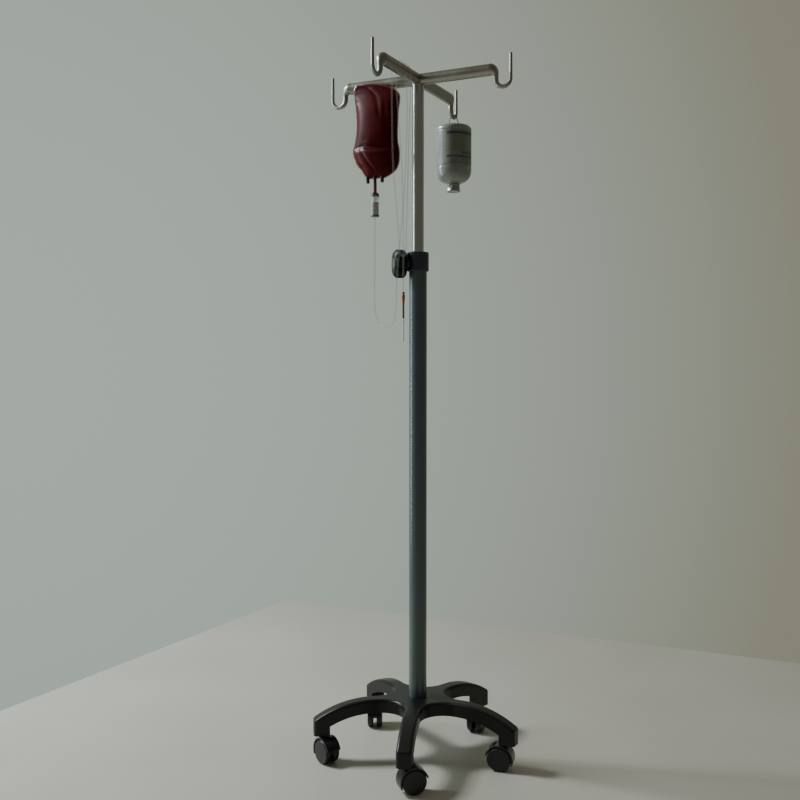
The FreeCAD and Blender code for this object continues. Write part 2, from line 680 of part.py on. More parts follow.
def make_clamp():
    """Pressure shoe, clamp screw, seven-lobed knob and its cap, all along the clamp's axis."""
    shoe = turned("shoe", [
        ("0", "shoe_start"),
        ("shoe_outer / 2", "shoe_start"),
        ("shoe_outer / 2", "shoe_start + shoe_length"),
        ("0", "shoe_start + shoe_length"),
    ])
    keep(place(shoe, z="clamp_height", turn=clamp_turn()), "clamp_shoe")
    screw = turned("screw", [
        ("0", "shoe_start + shoe_length + run_gap"),
        ("screw_outer / 2 - 0.8", "shoe_start + shoe_length + run_gap"),
        ("screw_outer / 2", "shoe_start + shoe_length + run_gap + 0.8"),
        ("screw_outer / 2", "knob_start + knob_thick - 6"),
        ("0", "knob_start + knob_thick - 6"),
    ])
    keep(place(screw, z="clamp_height", turn=clamp_turn()), "clamp_screw")
    barrel = turned("knob_barrel", [
        ("screw_outer / 2", "boss_reach + 1"),
        ("knob_hub / 2", "boss_reach + 1"),
        ("knob_hub / 2 + 1", "knob_start"),
        ("knob_outer / 2 - 4", "knob_start"),
        ("knob_outer / 2", "knob_start + 4"),
        ("knob_outer / 2", "knob_start + knob_thick - 6"),
        ("knob_outer / 2 - 6", "knob_start + knob_thick"),
        ("knob_cap / 2 + fit_gap", "knob_start + knob_thick"),
        ("knob_cap / 2 + fit_gap", "knob_start + knob_thick - cap_depth"),
        ("0", "knob_start + knob_thick - cap_depth"),
        ("0", "knob_start + knob_thick - 6"),
        ("screw_outer / 2", "knob_start + knob_thick - 6"),
    ])
    scallops = []
    for lobe in range(int(value("knob_lobes"))):
        heading = "(%d + 0.5) * 360 / knob_lobes" % lobe
        reach = "(knob_outer / 2 + scallop_radius / 2)"
        scallops.append(cylinder("scallop_%d" % lobe, "scallop_radius", "knob_thick + 2",
                                 x="%s * cos(%s)" % (reach, heading),
                                 y="%s * sin(%s)" % (reach, heading), z="knob_start - 1"))
    knob = cut("knob", barrel, joined("scallops", *scallops))
    keep(place(knob, z="clamp_height", turn=clamp_turn()), "clamp_knob")
    cap = turned("cap_disc", [
        ("0", "knob_start + knob_thick - cap_depth"),
        ("knob_cap / 2", "knob_start + knob_thick - cap_depth"),
        ("knob_cap / 2", "knob_start + knob_thick"),
        ("knob_cap / 2 - 1", "knob_start + knob_thick + 0.6"),
        ("0", "knob_start + knob_thick + 0.6"),
    ])
    keep(place(cap, z="clamp_height", turn=clamp_turn()), "knob_cap")


# --- casters ------------------------------------------------------------------------------------

# Which way each caster's wheels stand from its stem, as a heading, leg by leg.
WHEEL_HEADINGS = (("right", 190), ("back_right", 275), ("back_left", 295), ("left", 332), ("front", 43))


def make_stems():
    """The five steel sleeves in the star, and the five stems pressed into them."""
    sleeves = []
    stems = []
    for leg in range(int(value("leg_count"))):
        heading = "%d * leg_pitch" % leg
        x = "stem_circle * cos(%s)" % heading
        y = "stem_circle * sin(%s)" % heading
        sleeve = turned("sleeve_%d" % leg, [
            ("stem_outer / 2 + fit_gap", "0"),
            ("sleeve_outer / 2", "0"),
            ("sleeve_outer / 2", "sleeve_length"),
            ("stem_outer / 2 + fit_gap", "sleeve_length"),
        ])
        sleeves.append(place(sleeve, x, y, "foot_bottom"))
        shoulder = "hood_top - boss_length"
        stem = turned("stem_%d" % leg, [
            ("0", shoulder + " - neck_length"),
            ("pivot_neck / 2", shoulder + " - neck_length"),
            ("pivot_neck / 2", shoulder + " + run_gap"),
            ("pivot_outer / 2", shoulder + " + run_gap"),
            ("pivot_outer / 2", "foot_bottom - flange_thick"),
            ("stem_flange / 2", "foot_bottom - flange_thick"),
            ("stem_flange / 2", "foot_bottom"),
            ("stem_outer / 2", "foot_bottom"),
            ("stem_outer / 2", "foot_bottom + sleeve_length - 1"),
            ("0", "foot_bottom + sleeve_length - 1"),
        ])
        stems.append(place(stem, x, y))
    for name, items in (("stem_sleeves", sleeves), ("caster_stems", stems)):
        group = doc.addObject("Part::Compound", name + "_group")
        group.Links = items
        keep(group, name)


def sector(name, radius, width, start, stop):
    """A slice of a disc on the axle's axis, from one angle to another; the stem's side is at 0."""
    item = doc.addObject("Part::Cylinder", name)
    bind(item, "Radius", radius)
    bind(item, "Height", width)
    bind(item, "Angle", "(%s) - (%s)" % (stop, start))
    spin = Rotation(Vector(1, 0, 0), 90) * Rotation(Vector(0, 0, 1), value(start))
    return place(item, "0 - caster_trail", "(%s) / 2" % width, "wheel_outer / 2", spin)


def hood_body(name):
    """The hood, about the stem's axis: a shell over both wheels, the plate between them, the boss."""
    outer = "wheel_outer / 2 + hood_gap + hood_thick"
    inner = "wheel_outer / 2 + hood_gap"
    across = Rotation(Vector(1, 0, 0), 90)
    shell = cut(name + "_shell",
                sector(name + "_outside", outer, "hood_width", "0 - hood_front", "hood_back"),
                cylinder(name + "_inside", inner, "hood_width + 2", x="0 - caster_trail",
                         y="hood_width / 2 + 1", z="wheel_outer / 2", turn=across))
    web = sector(name + "_web", inner + " + 1", "web_thick", "0 - hood_front", "hood_back")
    hub = cylinder(name + "_hub", "wheel_hub / 2", "web_thick", x="0 - caster_trail",
                   y="web_thick / 2", z="wheel_outer / 2", turn=across)
    boss = cylinder(name + "_boss", "hood_boss / 2", "boss_length", z="hood_top - boss_length")
    solid = joined(name, shell, web, hub, boss)
    pivot = cylinder(name + "_pivot", "pivot_outer / 2 + run_gap", "boss_length + 1", z="hood_top - boss_length")
    neck = cylinder(name + "_neck", "pivot_neck / 2 + run_gap", "neck_length + boss_length",
                    z="hood_top - boss_length - neck_length - run_gap")
    axle = cylinder(name + "_axle", "axle_outer / 2 + fit_gap", "web_thick + 2", x="0 - caster_trail",
                    y="web_thick / 2 + 1", z="wheel_outer / 2", turn=across)
    return cut(name, solid, pivot, neck, axle)


def wheel_body(name):
    """A dished wheel about its own Z axis, its face outwards: tread, face disc and hub."""
    outer = "wheel_outer / 2"
    rim = outer + " - rim_depth"
    bore = "axle_outer / 2 + run_gap"
    return turned(name, [
        (bore, "0"),
        ("wheel_hub / 2", "0"),
        ("wheel_hub / 2", "wheel_width - disc_thick"),
        (rim, "wheel_width - disc_thick"),
        (rim, "0"),
        (outer + " - wheel_edge", "0"),
        (outer, "wheel_edge"),
        (outer, "wheel_width - wheel_edge"),
        (outer + " - wheel_edge", "wheel_width"),
        ("0", "wheel_width"),
        ("0", "wheel_width - axle_cover"),
        (bore, "wheel_width - axle_cover"),
    ])


def make_caster(name, leg, wheel_heading):
    """One twin-wheel caster, turned about its stem so that its wheels stand at the given heading."""
    yaw = wheel_heading + 180
    spin = Rotation(Vector(0, 0, 1), yaw)
    stem_x = "stem_circle * cos(%d * leg_pitch)" % leg
    stem_y = "stem_circle * sin(%d * leg_pitch)" % leg
    keep(place(hood_body("hood_" + name), stem_x, stem_y, "0", spin), "caster_hood_" + name)
    across = Rotation(Vector(0, 0, 1), Vector(0, 1, 0))

    def spot(side_text):
        x = "%s - caster_trail * cos(%d) - (%s) * sin(%d)" % (stem_x, yaw, side_text, yaw)
        y = "%s - caster_trail * sin(%d) + (%s) * cos(%d)" % (stem_y, yaw, side_text, yaw)
        return x, y, "wheel_outer / 2"

    half_axle = "(wheel_gap / 2 + wheel_width - axle_cover - run_gap)"
    axle = cylinder("axle_" + name, "axle_outer / 2", "2 * " + half_axle)
    keep(place(axle, *spot("0 - " + half_axle), spin * across), "caster_axle_" + name)
    for letter, sign in (("a", 1), ("b", -1)):
        out = spin * Rotation(Vector(0, 0, 1), Vector(0, sign, 0))
        wheel = wheel_body("wheel_%s_%s" % (name, letter))
        side = "%d * wheel_gap / 2" % sign
        keep(place(wheel, *spot(side), out), "caster_wheel_%s_%s" % (name, letter))


# --- bottle -------------------------------------------------------------------------------------


def hook_reach():
    """Formula for the distance from the pole's axis to the middle of a hook's bend."""
    return "(arm_straight + elbow_radius + hook_radius)"


def make_bottle():
    """The hanging bottle, neck down, with a lug on top for the bail, and its crimped cap."""
    body = turned("bottle_body", [
        ("0", "neck_bottom"),
        ("neck_outer / 2", "neck_bottom"),
        ("neck_outer / 2", "neck_top"),
        ("bottle_outer / 2", "shoulder_height"),
        ("bottle_outer / 2", "bottle_top"),
        ("0", "bottle_top"),
    ])
    rounded(body, [("bottle_outer / 2", "bottle_top")], "bottle_round")
    rounded(body, [("bottle_outer / 2", "shoulder_height")], "shoulder_round")
    lug = box("lug_block", "lug_width", "lug_depth", "lug_height + 1",
              x="0 - lug_width / 2", y="0 - lug_depth / 2", z="bottle_top - 1")
    hole = cylinder("lug_hole", "bail_wire / 2 + run_gap", "lug_width + 2", x="0 - lug_width / 2 - 1",
                    z="bail_height", turn=Rotation(Vector(0, 0, 1), Vector(1, 0, 0)))
    keep(place(cut("bottle", joined("bottle_blank", body, lug), hole), y=hook_reach()), "bottle")
    cap = turned("bottle_cap_body", [
        ("0", "cap_bottom"),
        ("cap_outer / 2 - 1", "cap_bottom"),
        ("cap_outer / 2", "cap_bottom + 1"),
        ("cap_outer / 2", "neck_bottom - 2"),
        ("neck_outer / 2 - 0.6", "neck_bottom"),
        ("0", "neck_bottom"),
    ])
    keep(place(cap, y=hook_reach()), "bottle_cap")


def make_bail():
    """The wire bail: over the hook's bend, down both sides, its ends turned into the lug."""
    pivot = value("bail_height")
    spread = value("bail_spread")
    wire = value("bail_wire")
    rod_centre = value("cross_height - hook_drop - hook_radius")
    saddle = rod_centre + value("bend_radius") + wire / 2 + 0.45
    inner = value("lug_width / 2") - 2.5
    points = [(-inner, 0, pivot), (-spread, 0, pivot), (-6.2, 0, saddle),
              (6.2, 0, saddle), (spread, 0, pivot), (inner, 0, pivot)]
    keep(place(plain("bail", tube(points, wire)), y=hook_reach()), "bottle_bail")


# --- blood bag and drip set ---------------------------------------------------------------------

# Shares of the bag's height, of its width at the left and right edge, and of its full thickness.
BAG_RINGS = (
    (0.0, 0.245, 0.70, 0.25), (0.05, 0.205, 0.85, 0.62), (0.11, 0.13, 0.943, 0.86),
    (0.20, 0.055, 0.986, 1.0), (0.30, 0.005, 0.995, 0.92), (0.42, 0.01, 0.98, 0.97),
    (0.62, 0.028, 0.962, 0.90), (0.80, 0.005, 0.995, 0.62), (0.88, 0.0, 0.915, 0.38),
    (0.94, 0.009, 0.736, 0.17), (0.985, 0.024, 0.434, 0.09), (1.0, 0.047, 0.34, 0.07),
)


def bag_plane():
    """Formula for the bag's middle plane, just clear of the strap on the near side of the arm."""
    return "(0 - arm_outer / 2 - strap_thick - 0.4 - 0.045 * bag_depth)"


def make_bag():
    """The filled blood bag: a soft pouch, thin at its welded top tab, lofted through flat ovals."""
    rings = []
    for number, (up, left, right, thick) in enumerate(BAG_RINGS):
        ring = doc.addObject("Part::Ellipse", "bag_ring_%d" % number)
        bind(ring, "MajorRadius", "bag_width * %s / 2" % (right - left))
        bind(ring, "MinorRadius", "bag_depth * %s / 2" % thick)
        rings.append(place(ring, "bag_left + bag_width * %s" % ((left + right) / 2), bag_plane(),
                           "bag_bottom + bag_height * %s" % up))
    bag = doc.addObject("Part::Loft", "bag_loft")
    bag.Sections = rings
    bag.Solid = True
    keep(bag, "blood_bag")
    across = Rotation(Vector(0, 0, 1), Vector(1, 0, 0))
    edge = "strap_place - strap_width / 2"
    bore = "arm_outer / 2 + 0.3"
    strap = cut("strap",
                cylinder("strap_outside", bore + " + strap_thick", "strap_width", x=edge, z="cross_height", turn=across),
                cylinder("strap_inside", bore, "strap_width", x=edge, z="cross_height", turn=across))
    keep(strap, "bag_strap")
    ports = []
    for number in (-1, 0, 1):
        ports.append(cylinder("port_%d" % (number + 1), "port_outer / 2", "port_length",
                              x="set_place + %d * port_pitch" % number, y=bag_plane(),
                              z="bag_bottom - port_length"))
    group = doc.addObject("Part::Compound", "port_group")
    group.Links = ports
    keep(group, "bag_ports")


def make_drip_set():
    """Spike, drip chamber with fluid in it, on one line under the bag's middle port."""
    top = "(bag_bottom - port_length)"
    flange = "(bag_bottom - port_length - spike_length)"
    low = "(bag_bottom - port_length - spike_length - chamber_length)"
    spike = turned("spike", [
        ("0", flange),
        ("spike_flange / 2", flange),
        ("spike_flange / 2", flange + " + flange_depth"),
        ("spike_outer / 2", flange + " + flange_depth"),
        ("spike_outer / 2", top),
        ("0", top),
    ])
    keep(place(spike, "set_place", bag_plane()), "drip_spike")
    chamber = turned("chamber", [
        ("chamber_outer / 2 - chamber_wall", flange),
        ("chamber_outer / 2 - chamber_wall", low + " + 1.5"),
        ("0", low + " + 1.5"),
        ("0", low + " - outlet_length"),
        ("outlet_outer / 2", low + " - outlet_length"),
        ("outlet_outer / 2", low),
        ("chamber_outer / 2", low),
        ("chamber_outer / 2", flange),
    ])
    keep(place(chamber, "set_place", bag_plane()), "drip_chamber")
    fluid = cylinder("fluid_column", "chamber_outer / 2 - chamber_wall - fit_gap", "fluid_height",
                     "set_place", bag_plane(), low + " + 1.5")
    keep(fluid, "chamber_fluid")


# The infusion line hangs free, so its route is a list chosen by hand. It leaves the chamber, turns
# at the bottom of its long loop and goes twice over the near arm, down to the needle.
DRIP_ROUTE = (
    (-95.0, -14.92, 1154.0), (-95.5, -15.4, 1108.0), (-94.5, -16.2, 1054.0), (-94.6, -18.5, 1000.0),
    (-92.0, -23.0, 955.0), (-80.0, -29.5, 930.0), (-64.0, -38.5, 917.8), (-47.13, -48.42, 919.13),
)
LINE_ROUTE = (
    (-46.87, -48.58, 919.17), (-30.0, -58.5, 920.5), (-19.0, -67.0, 942.0), (-15.5, -72.5, 976.0),
    (-11.5, -78.5, 1022.0),
    (-4.0, -80.5, 1080.0), (2.9, -82.3, 1138.0), (8.6, -84.0, 1196.0), (12.6, -85.6, 1254.0),
    (15.6, -87.0, 1312.0), (17.6, -88.2, 1366.0), (14.6, -89.0, 1412.0), (14.6, -89.6, 1454.6),
    (-14.6, -92.6, 1454.6), (-15.2, -94.5, 1412.0), (-13.6, -96.2, 1354.0), (-12.4, -96.8, 1294.0),
    (-10.4, -97.0, 1236.0), (-4.2, -97.8, 1180.0), (1.4, -98.9, 1128.0), (5.0, -101.2, 1090.0),
    (6.2, -101.5, 1065.9), (6.8, -87.5, 1057.8), (7.3, -73.5, 1065.9), (7.6, -73.4, 1088.0),
    (8.2, -73.2, 1122.0), (9.4, -72.6, 1172.0), (10.6, -71.6, 1230.0), (11.8, -70.8, 1290.0), (13.6, -70.2, 1350.0),
    (16.6, -69.6, 1408.0), (14.6, -69.6, 1454.6), (-14.6, -72.4, 1454.6), (-15.4, -72.6, 1410.0),
    (-11.4, -71.6, 1360.0), (-7.4, -70.6, 1304.0), (-4.0, -70.0, 1248.0), (-1.6, -70.2, 1190.0),
    (-0.4, -71.0, 1132.0), (0.4, -71.8, 1074.0), (0.2, -72.0, 1030.0), (0.4, -71.9, 989.0),
)


def make_line():
    """The infusion line in two lengths, and the needle set on its far end."""
    diameter = value("line_outer")
    keep(plain("drip_line", tube(DRIP_ROUTE, diameter)), "drip_line")
    keep(plain("infusion_line", tube(LINE_ROUTE, diameter)), "infusion_line")
    end = LINE_ROUTE[-1]
    x = str(end[0])
    y = "0 - %s" % -end[1]
    lengths = (("needle_hub", "hub_outer", "hub_length", "hub_length"),
               ("needle_mount", "mount_outer", "mount_length", "(hub_length + mount_length)"),
               ("needle_sheath", "sheath_outer", "sheath_length", "(hub_length + mount_length + sheath_length)"))
    for name, outer, length, below in lengths:
        keep(cylinder(name + "_rod", outer + " / 2", length, x, y, "%s - %s" % (end[2], below)), name)


def check(items):
    """Stops the build when any object failed, or a sub-part's shape is empty or broken."""
    for item in doc.Objects:
        if "Invalid" in item.State or "Error" in item.State:
            raise RuntimeError("%s failed: %s" % (item.Name, item.State))
    for item in items:
        if item.Shape.isNull() or not item.Shape.isValid() or item.Shape.Volume <= 0:
            raise RuntimeError("%s has no sound shape" % item.Label)


make_base_star()
make_base_bolt()
make_lower_tube()
make_collar()
make_guide_bush()
make_slider()
make_upper_tube()
make_arms()
make_clamp()
make_stems()
for leg_number, (caster_name, wheels_at) in enumerate(WHEEL_HEADINGS):
    make_caster(caster_name, leg_number, wheels_at)
make_bottle()
make_bail()
make_bag()
make_drip_set()
make_line()
doc.recompute()
check(NODES)

os.makedirs("parts", exist_ok=True)
for node in NODES:
    node.Shape.exportStep("parts/%s.step" % node.Label)
print("%d sub-parts written" % len(NODES))
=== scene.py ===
import math

import bmesh
import bpy
import numpy as np
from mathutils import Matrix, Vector


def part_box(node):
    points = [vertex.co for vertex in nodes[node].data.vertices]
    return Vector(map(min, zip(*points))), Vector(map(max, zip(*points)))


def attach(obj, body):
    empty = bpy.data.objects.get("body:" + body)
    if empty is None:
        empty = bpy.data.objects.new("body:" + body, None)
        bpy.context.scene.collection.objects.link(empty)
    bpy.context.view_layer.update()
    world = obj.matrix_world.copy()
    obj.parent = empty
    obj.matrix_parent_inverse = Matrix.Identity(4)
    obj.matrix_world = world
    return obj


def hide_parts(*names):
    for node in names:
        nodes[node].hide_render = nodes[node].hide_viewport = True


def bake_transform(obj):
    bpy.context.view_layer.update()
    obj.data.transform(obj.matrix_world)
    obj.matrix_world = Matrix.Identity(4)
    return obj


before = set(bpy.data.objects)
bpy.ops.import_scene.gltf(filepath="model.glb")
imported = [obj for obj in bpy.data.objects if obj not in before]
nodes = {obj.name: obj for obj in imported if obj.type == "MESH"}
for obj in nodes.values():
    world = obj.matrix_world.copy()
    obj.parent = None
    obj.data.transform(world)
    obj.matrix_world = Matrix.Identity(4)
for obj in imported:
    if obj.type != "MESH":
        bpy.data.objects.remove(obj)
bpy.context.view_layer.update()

MM = 0.001

# --- the room -----------------------------------------------------------------------------------
# A plain pale floor that ends at two straight edges, in a grey-green room. The light is bluish and
# comes from the left, from a high window and a tall one.
camera_data = bpy.data.cameras.new("camera")
camera_data.sensor_width = 36.0
camera_data.lens = 44.82
camera_data.clip_start = 0.05
camera = bpy.data.objects.new("camera", camera_data)
camera.location = (0.9014, -1.9243, 0.838)
camera.rotation_euler = (math.radians(88.0), 0.0, math.radians(26.13))
bpy.context.scene.collection.objects.link(camera)
bpy.context.scene.camera = camera


def shader(name, colour, roughness, metallic=0.0):
    """A material with one Principled shader; gives the material, its nodes, links and the shader."""
    material = bpy.data.materials.new(name)
    material.use_nodes = True
    tree = material.node_tree
    surface = tree.nodes["Principled BSDF"]
    surface.inputs["Base Color"].default_value = (*colour, 1.0)
    surface.inputs["Roughness"].default_value = roughness
    surface.inputs["Metallic"].default_value = metallic
    return material, tree.nodes, tree.links, surface


def noise(tree_nodes, links, scale, detail=4.0, stretch=None):
    """Noise in the object's own metres, stretched along an axis where the finish is."""
    place = tree_nodes.new("ShaderNodeTexCoord")
    texture = tree_nodes.new("ShaderNodeTexNoise")
    texture.inputs["Scale"].default_value = scale
    texture.inputs["Detail"].default_value = detail
    vector = place.outputs["Object"]
    if stretch:
        mapping = tree_nodes.new("ShaderNodeMapping")
        mapping.inputs["Scale"].default_value = stretch
        links.new(vector, mapping.inputs["Vector"])
        vector = mapping.outputs["Vector"]
    links.new(vector, texture.inputs["Vector"])
    return texture.outputs["Fac"]


def vary_colour(tree_nodes, links, surface, factor, low, high):
    """The base colour runs from low to high with the factor."""
    ramp = tree_nodes.new("ShaderNodeValToRGB")
    ramp.color_ramp.elements[0].position = 0.3
    ramp.color_ramp.elements[1].position = 0.7
    ramp.color_ramp.elements[0].color = (*low, 1.0)
    ramp.color_ramp.elements[1].color = (*high, 1.0)
    links.new(factor, ramp.inputs["Fac"])
    links.new(ramp.outputs["Color"], surface.inputs["Base Color"])


def vary_roughness(tree_nodes, links, surface, factor, low, high):
    """The roughness runs from low to high with the factor."""
    span = tree_nodes.new("ShaderNodeMapRange")
    span.inputs["From Min"].default_value = 0.3
    span.inputs["From Max"].default_value = 0.7
    span.inputs["To Min"].default_value = low
    span.inputs["To Max"].default_value = high
    links.new(factor, span.inputs["Value"])
    links.new(span.outputs["Result"], surface.inputs["Roughness"])


def roughen(tree_nodes, links, surface, factor, depth, strength=0.5):
    """Bump from the factor, its depth in metres."""
    bump = tree_nodes.new("ShaderNodeBump")
    bump.inputs["Distance"].default_value = depth
    bump.inputs["Strength"].default_value = strength
    links.new(factor, bump.inputs["Height"])
    links.new(bump.outputs["Normal"], surface.inputs["Normal"])


def finish(name, colour, roughness, metallic=0.0, spread=0.12, mottle=14.0, grain=900.0,
           depth=0.00004, wander=0.05, stretch=None):
    """A moulded, painted or drawn finish: uneven colour, wandering roughness and a fine grain."""
    material, tree_nodes, links, surface = shader(name, colour, roughness, metallic)
    patches = noise(tree_nodes, links, mottle)
    low = tuple(part * (1 - spread) for part in colour)
    high = tuple(min(1.0, part * (1 + spread)) for part in colour)
    vary_colour(tree_nodes, links, surface, patches, low, high)
    vary_roughness(tree_nodes, links, surface, patches, roughness - wander, roughness + wander)
    roughen(tree_nodes, links, surface, noise(tree_nodes, links, grain, 2.0, stretch), depth)
    return material


FLOOR_LEFT, FLOOR_BACK, FLOOR_REACH = -1.02, 1.06, 5.0
floor_mesh = bpy.data.meshes.new("floor")
floor_mesh.from_pydata([(FLOOR_LEFT, -FLOOR_REACH, 0), (FLOOR_REACH, -FLOOR_REACH, 0),
                        (FLOOR_REACH, FLOOR_BACK, 0), (FLOOR_LEFT, FLOOR_BACK, 0)], [], [(0, 1, 2, 3)])
floor = bpy.data.objects.new("floor", floor_mesh)
bpy.context.scene.collection.objects.link(floor)
floor_mesh.materials.append(finish("pale_floor", (0.56, 0.525, 0.455), 0.5, spread=0.04, mottle=3.0,
                                   grain=60.0, depth=0.0002))

# The room is lighter and bluer on the window's side and darker and warmer away from it.
world = bpy.data.worlds.new("room_light")
world.use_nodes = True
sky_nodes, sky_links = world.node_tree.nodes, world.node_tree.links
heading = sky_nodes.new("ShaderNodeTexCoord")
turned = sky_nodes.new("ShaderNodeVectorMath")
turned.operation = "DOT_PRODUCT"
turned.inputs[1].default_value = (-0.76, 0.65, 0.0)
sky_links.new(heading.outputs["Generated"], turned.inputs[0])
shade = sky_nodes.new("ShaderNodeMapRange")
shade.inputs["From Min"].default_value = -1.0
shade.inputs["From Max"].default_value = 1.0
sky_links.new(turned.outputs["Value"], shade.inputs["Value"])
wall = sky_nodes.new("ShaderNodeValToRGB")
wall.color_ramp.elements[0].position = 0.25
wall.color_ramp.elements[0].color = (0.115, 0.115, 0.098, 1.0)
wall.color_ramp.elements[1].position = 1.0
wall.color_ramp.elements[1].color = (0.43, 0.51, 0.455, 1.0)
wall_middle = wall.color_ramp.elements.new(0.85)
wall_middle.color = (0.245, 0.245, 0.185, 1.0)
sky_links.new(shade.outputs["Result"], wall.inputs["Fac"])
sky_links.new(wall.outputs["Color"], sky_nodes["Background"].inputs["Color"])
bpy.context.scene.world = world


def window(name, spot, target, width, height, power, colour):
    """A rectangular lamp at a spot, facing the target."""
    data = bpy.data.lights.new(name, "AREA")
    data.shape = "RECTANGLE"
    data.size = width
    data.size_y = height
    data.energy = power
    data.color = colour
    lamp = bpy.data.objects.new(name, data)
    lamp.location = spot
    lamp.rotation_euler = (Vector(target) - Vector(spot)).to_track_quat("-Z", "Y").to_euler()
    bpy.context.scene.collection.objects.link(lamp)


window("high_window", (-2.25, -0.35, 2.65), (0.0, 0.0, 0.75), 0.62, 0.62, 92.0, (0.88, 0.96, 1.0))
window("tall_window", (-2.25, -0.72, 1.25), (0.0, 0.0, 1.0), 0.34, 2.3, 27.0, (0.76, 0.91, 1.0))


# --- infusion line ------------------------------------------------------------------------------
# Soft clear vinyl tube, 4 mm outside. It leaves the drip chamber, turns at the bottom of its long
# loop, is laid twice over the near arm and hangs down to the needle. The tube is hollow.
LINE_POINTS = (
    (-95.0, -14.92, 1154.0), (-95.5, -15.4, 1108.0), (-94.5, -16.2, 1054.0), (-94.6, -18.5, 1000.0),
    (-92.0, -23.0, 955.0), (-80.0, -29.5, 930.0), (-64.0, -38.5, 917.8), (-30.0, -58.5, 920.5),
    (-19.0, -67.0, 942.0), (-15.5, -72.5, 976.0), (-11.5, -78.5, 1022.0), (-4.0, -80.5, 1080.0),
    (2.9, -82.3, 1138.0), (8.6, -84.0, 1196.0), (12.6, -85.6, 1254.0), (15.6, -87.0, 1312.0),
    (17.6, -88.2, 1366.0), (14.6, -89.0, 1412.0), (14.6, -89.6, 1454.6), (-14.6, -92.6, 1454.6),
    (-15.2, -94.5, 1412.0), (-13.6, -96.2, 1354.0), (-12.4, -96.8, 1294.0), (-10.4, -97.0, 1236.0),
    (-4.2, -97.8, 1180.0), (1.4, -98.9, 1128.0), (5.0, -101.2, 1090.0), (6.2, -101.5, 1065.9),
    (6.8, -87.5, 1057.8), (7.3, -73.5, 1065.9), (7.6, -73.4, 1088.0), (8.2, -73.2, 1122.0),
    (9.4, -72.6, 1172.0), (10.6, -71.6, 1230.0), (11.8, -70.8, 1290.0), (13.6, -70.2, 1350.0),
    (16.6, -69.6, 1408.0), (14.6, -69.6, 1454.6), (-14.6, -72.4, 1454.6), (-15.4, -72.6, 1410.0),
    (-11.4, -71.6, 1360.0), (-7.4, -70.6, 1304.0), (-4.0, -70.0, 1248.0), (-1.6, -70.2, 1190.0),
    (-0.4, -71.0, 1132.0), (0.4, -71.8, 1074.0), (0.2, -72.0, 1030.0), (0.4, -71.9, 989.0),
)


def smooth_line(name, points, steps=8):
    """Points along the NURBS line that has the given control points."""
    curve = bpy.data.curves.new(name, "CURVE")
    curve.dimensions = "3D"
    spline = curve.splines.new("NURBS")
    spline.points.add(len(points) - 1)
    for spot, point in zip(spline.points, points):
        spot.co = (*point, 1.0)
    spline.order_u = 3
    spline.use_endpoint_u = True
    curve.resolution_u = steps
    holder = bpy.data.objects.new(name, curve)
    line = bpy.data.meshes.new_from_object(holder)
    path = [vertex.co.copy() for vertex in line.vertices]
    bpy.data.objects.remove(holder)
    bpy.data.curves.remove(curve)
    bpy.data.meshes.remove(line)
    return path


def add(name, mesh, material, body=None):
    """Puts a mesh into the scene as a smooth-shaded piece of that finish on that body."""
    piece = bpy.data.objects.new(name, mesh)
    bpy.context.scene.collection.objects.link(piece)
    mesh.materials.append(material)
    for polygon in mesh.polygons:
        polygon.use_smooth = True
    if body:
        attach(piece, body)
    return piece


def bridge(mesh, first, second):
    """Quads between two closed rings of points."""
    for k in range(len(first)):
        n = (k + 1) % len(first)
        mesh.faces.new((first[k], first[n], second[n], second[k]))


def finished(name, mesh, turn_out=True):
    """The mesh data of a bmesh, its faces turned outwards unless they are so already."""
    if turn_out:
        bmesh.ops.recalc_face_normals(mesh, faces=mesh.faces)
    data = bpy.data.meshes.new(name)
    mesh.to_mesh(data)
    mesh.free()
    return data


def swept(name, path, outside, bore, sides=14):
    """A hollow tube along a path: ring by ring on the outside, and then back inside the bore."""
    last = len(path) - 1
    forward = [(path[min(i + 1, last)] - path[max(i - 1, 0)]).normalized() for i in range(last + 1)]
    across = forward[0].orthogonal().normalized()
    frames = []
    for spot, ahead in zip(path, forward):
        across = (across - ahead * across.dot(ahead)).normalized()
        frames.append((spot, across.copy(), ahead.cross(across)))
    mesh = bmesh.new()
    rings = []
    for radius, order in ((outside, frames), (bore, frames[::-1])):
        for spot, side, up in order:
            rings.append([mesh.verts.new(spot + (side * math.cos(a) + up * math.sin(a)) * radius)
                          for a in (2 * math.pi * k / sides for k in range(sides))])
    for first, second in zip(rings, rings[1:] + rings[:1]):
        bridge(mesh, first, second)
    return finished(name, mesh)


def tune(material, values):
    """Sets sockets of a material's shader to constants."""
    for socket, value in values.items():
        material.node_tree.nodes["Principled BSDF"].inputs[socket].default_value = value


clear_vinyl, vinyl_nodes, vinyl_links, vinyl = shader("clear_vinyl", (0.42, 0.43, 0.40), 0.20)
tune(clear_vinyl, {"Alpha": 0.085, "IOR": 1.5, "Coat Weight": 0.1, "Coat Roughness": 0.15})
vary_roughness(vinyl_nodes, vinyl_links, vinyl, noise(vinyl_nodes, vinyl_links, 60.0), 0.14, 0.3)
roughen(vinyl_nodes, vinyl_links, vinyl, noise(vinyl_nodes, vinyl_links, 300.0, 2.0), 0.00005, 0.3)

LINE_OUTSIDE = 4.0 * MM
LINE_BORE = 2.6 * MM
line_path = smooth_line("line_route", [Vector(point) * MM for point in LINE_POINTS])
line_mesh = swept("infusion_line_tube", line_path, LINE_OUTSIDE / 2, LINE_BORE / 2)
infusion_line = add("infusion_line_tube", line_mesh, clear_vinyl)
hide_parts("drip_line", "infusion_line")
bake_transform(infusion_line)

# --- needle -------------------------------------------------------------------------------------
# A moulded orange hub, waisted and tapered to its nose, a thin green mount, and a white sheath
# over the needle. All three hang on the end of the line.
def dress(node_name, material):
    """Gives a CAD node its finish."""
    node = nodes[node_name]
    node.data.materials.clear()
    node.data.materials.append(material)


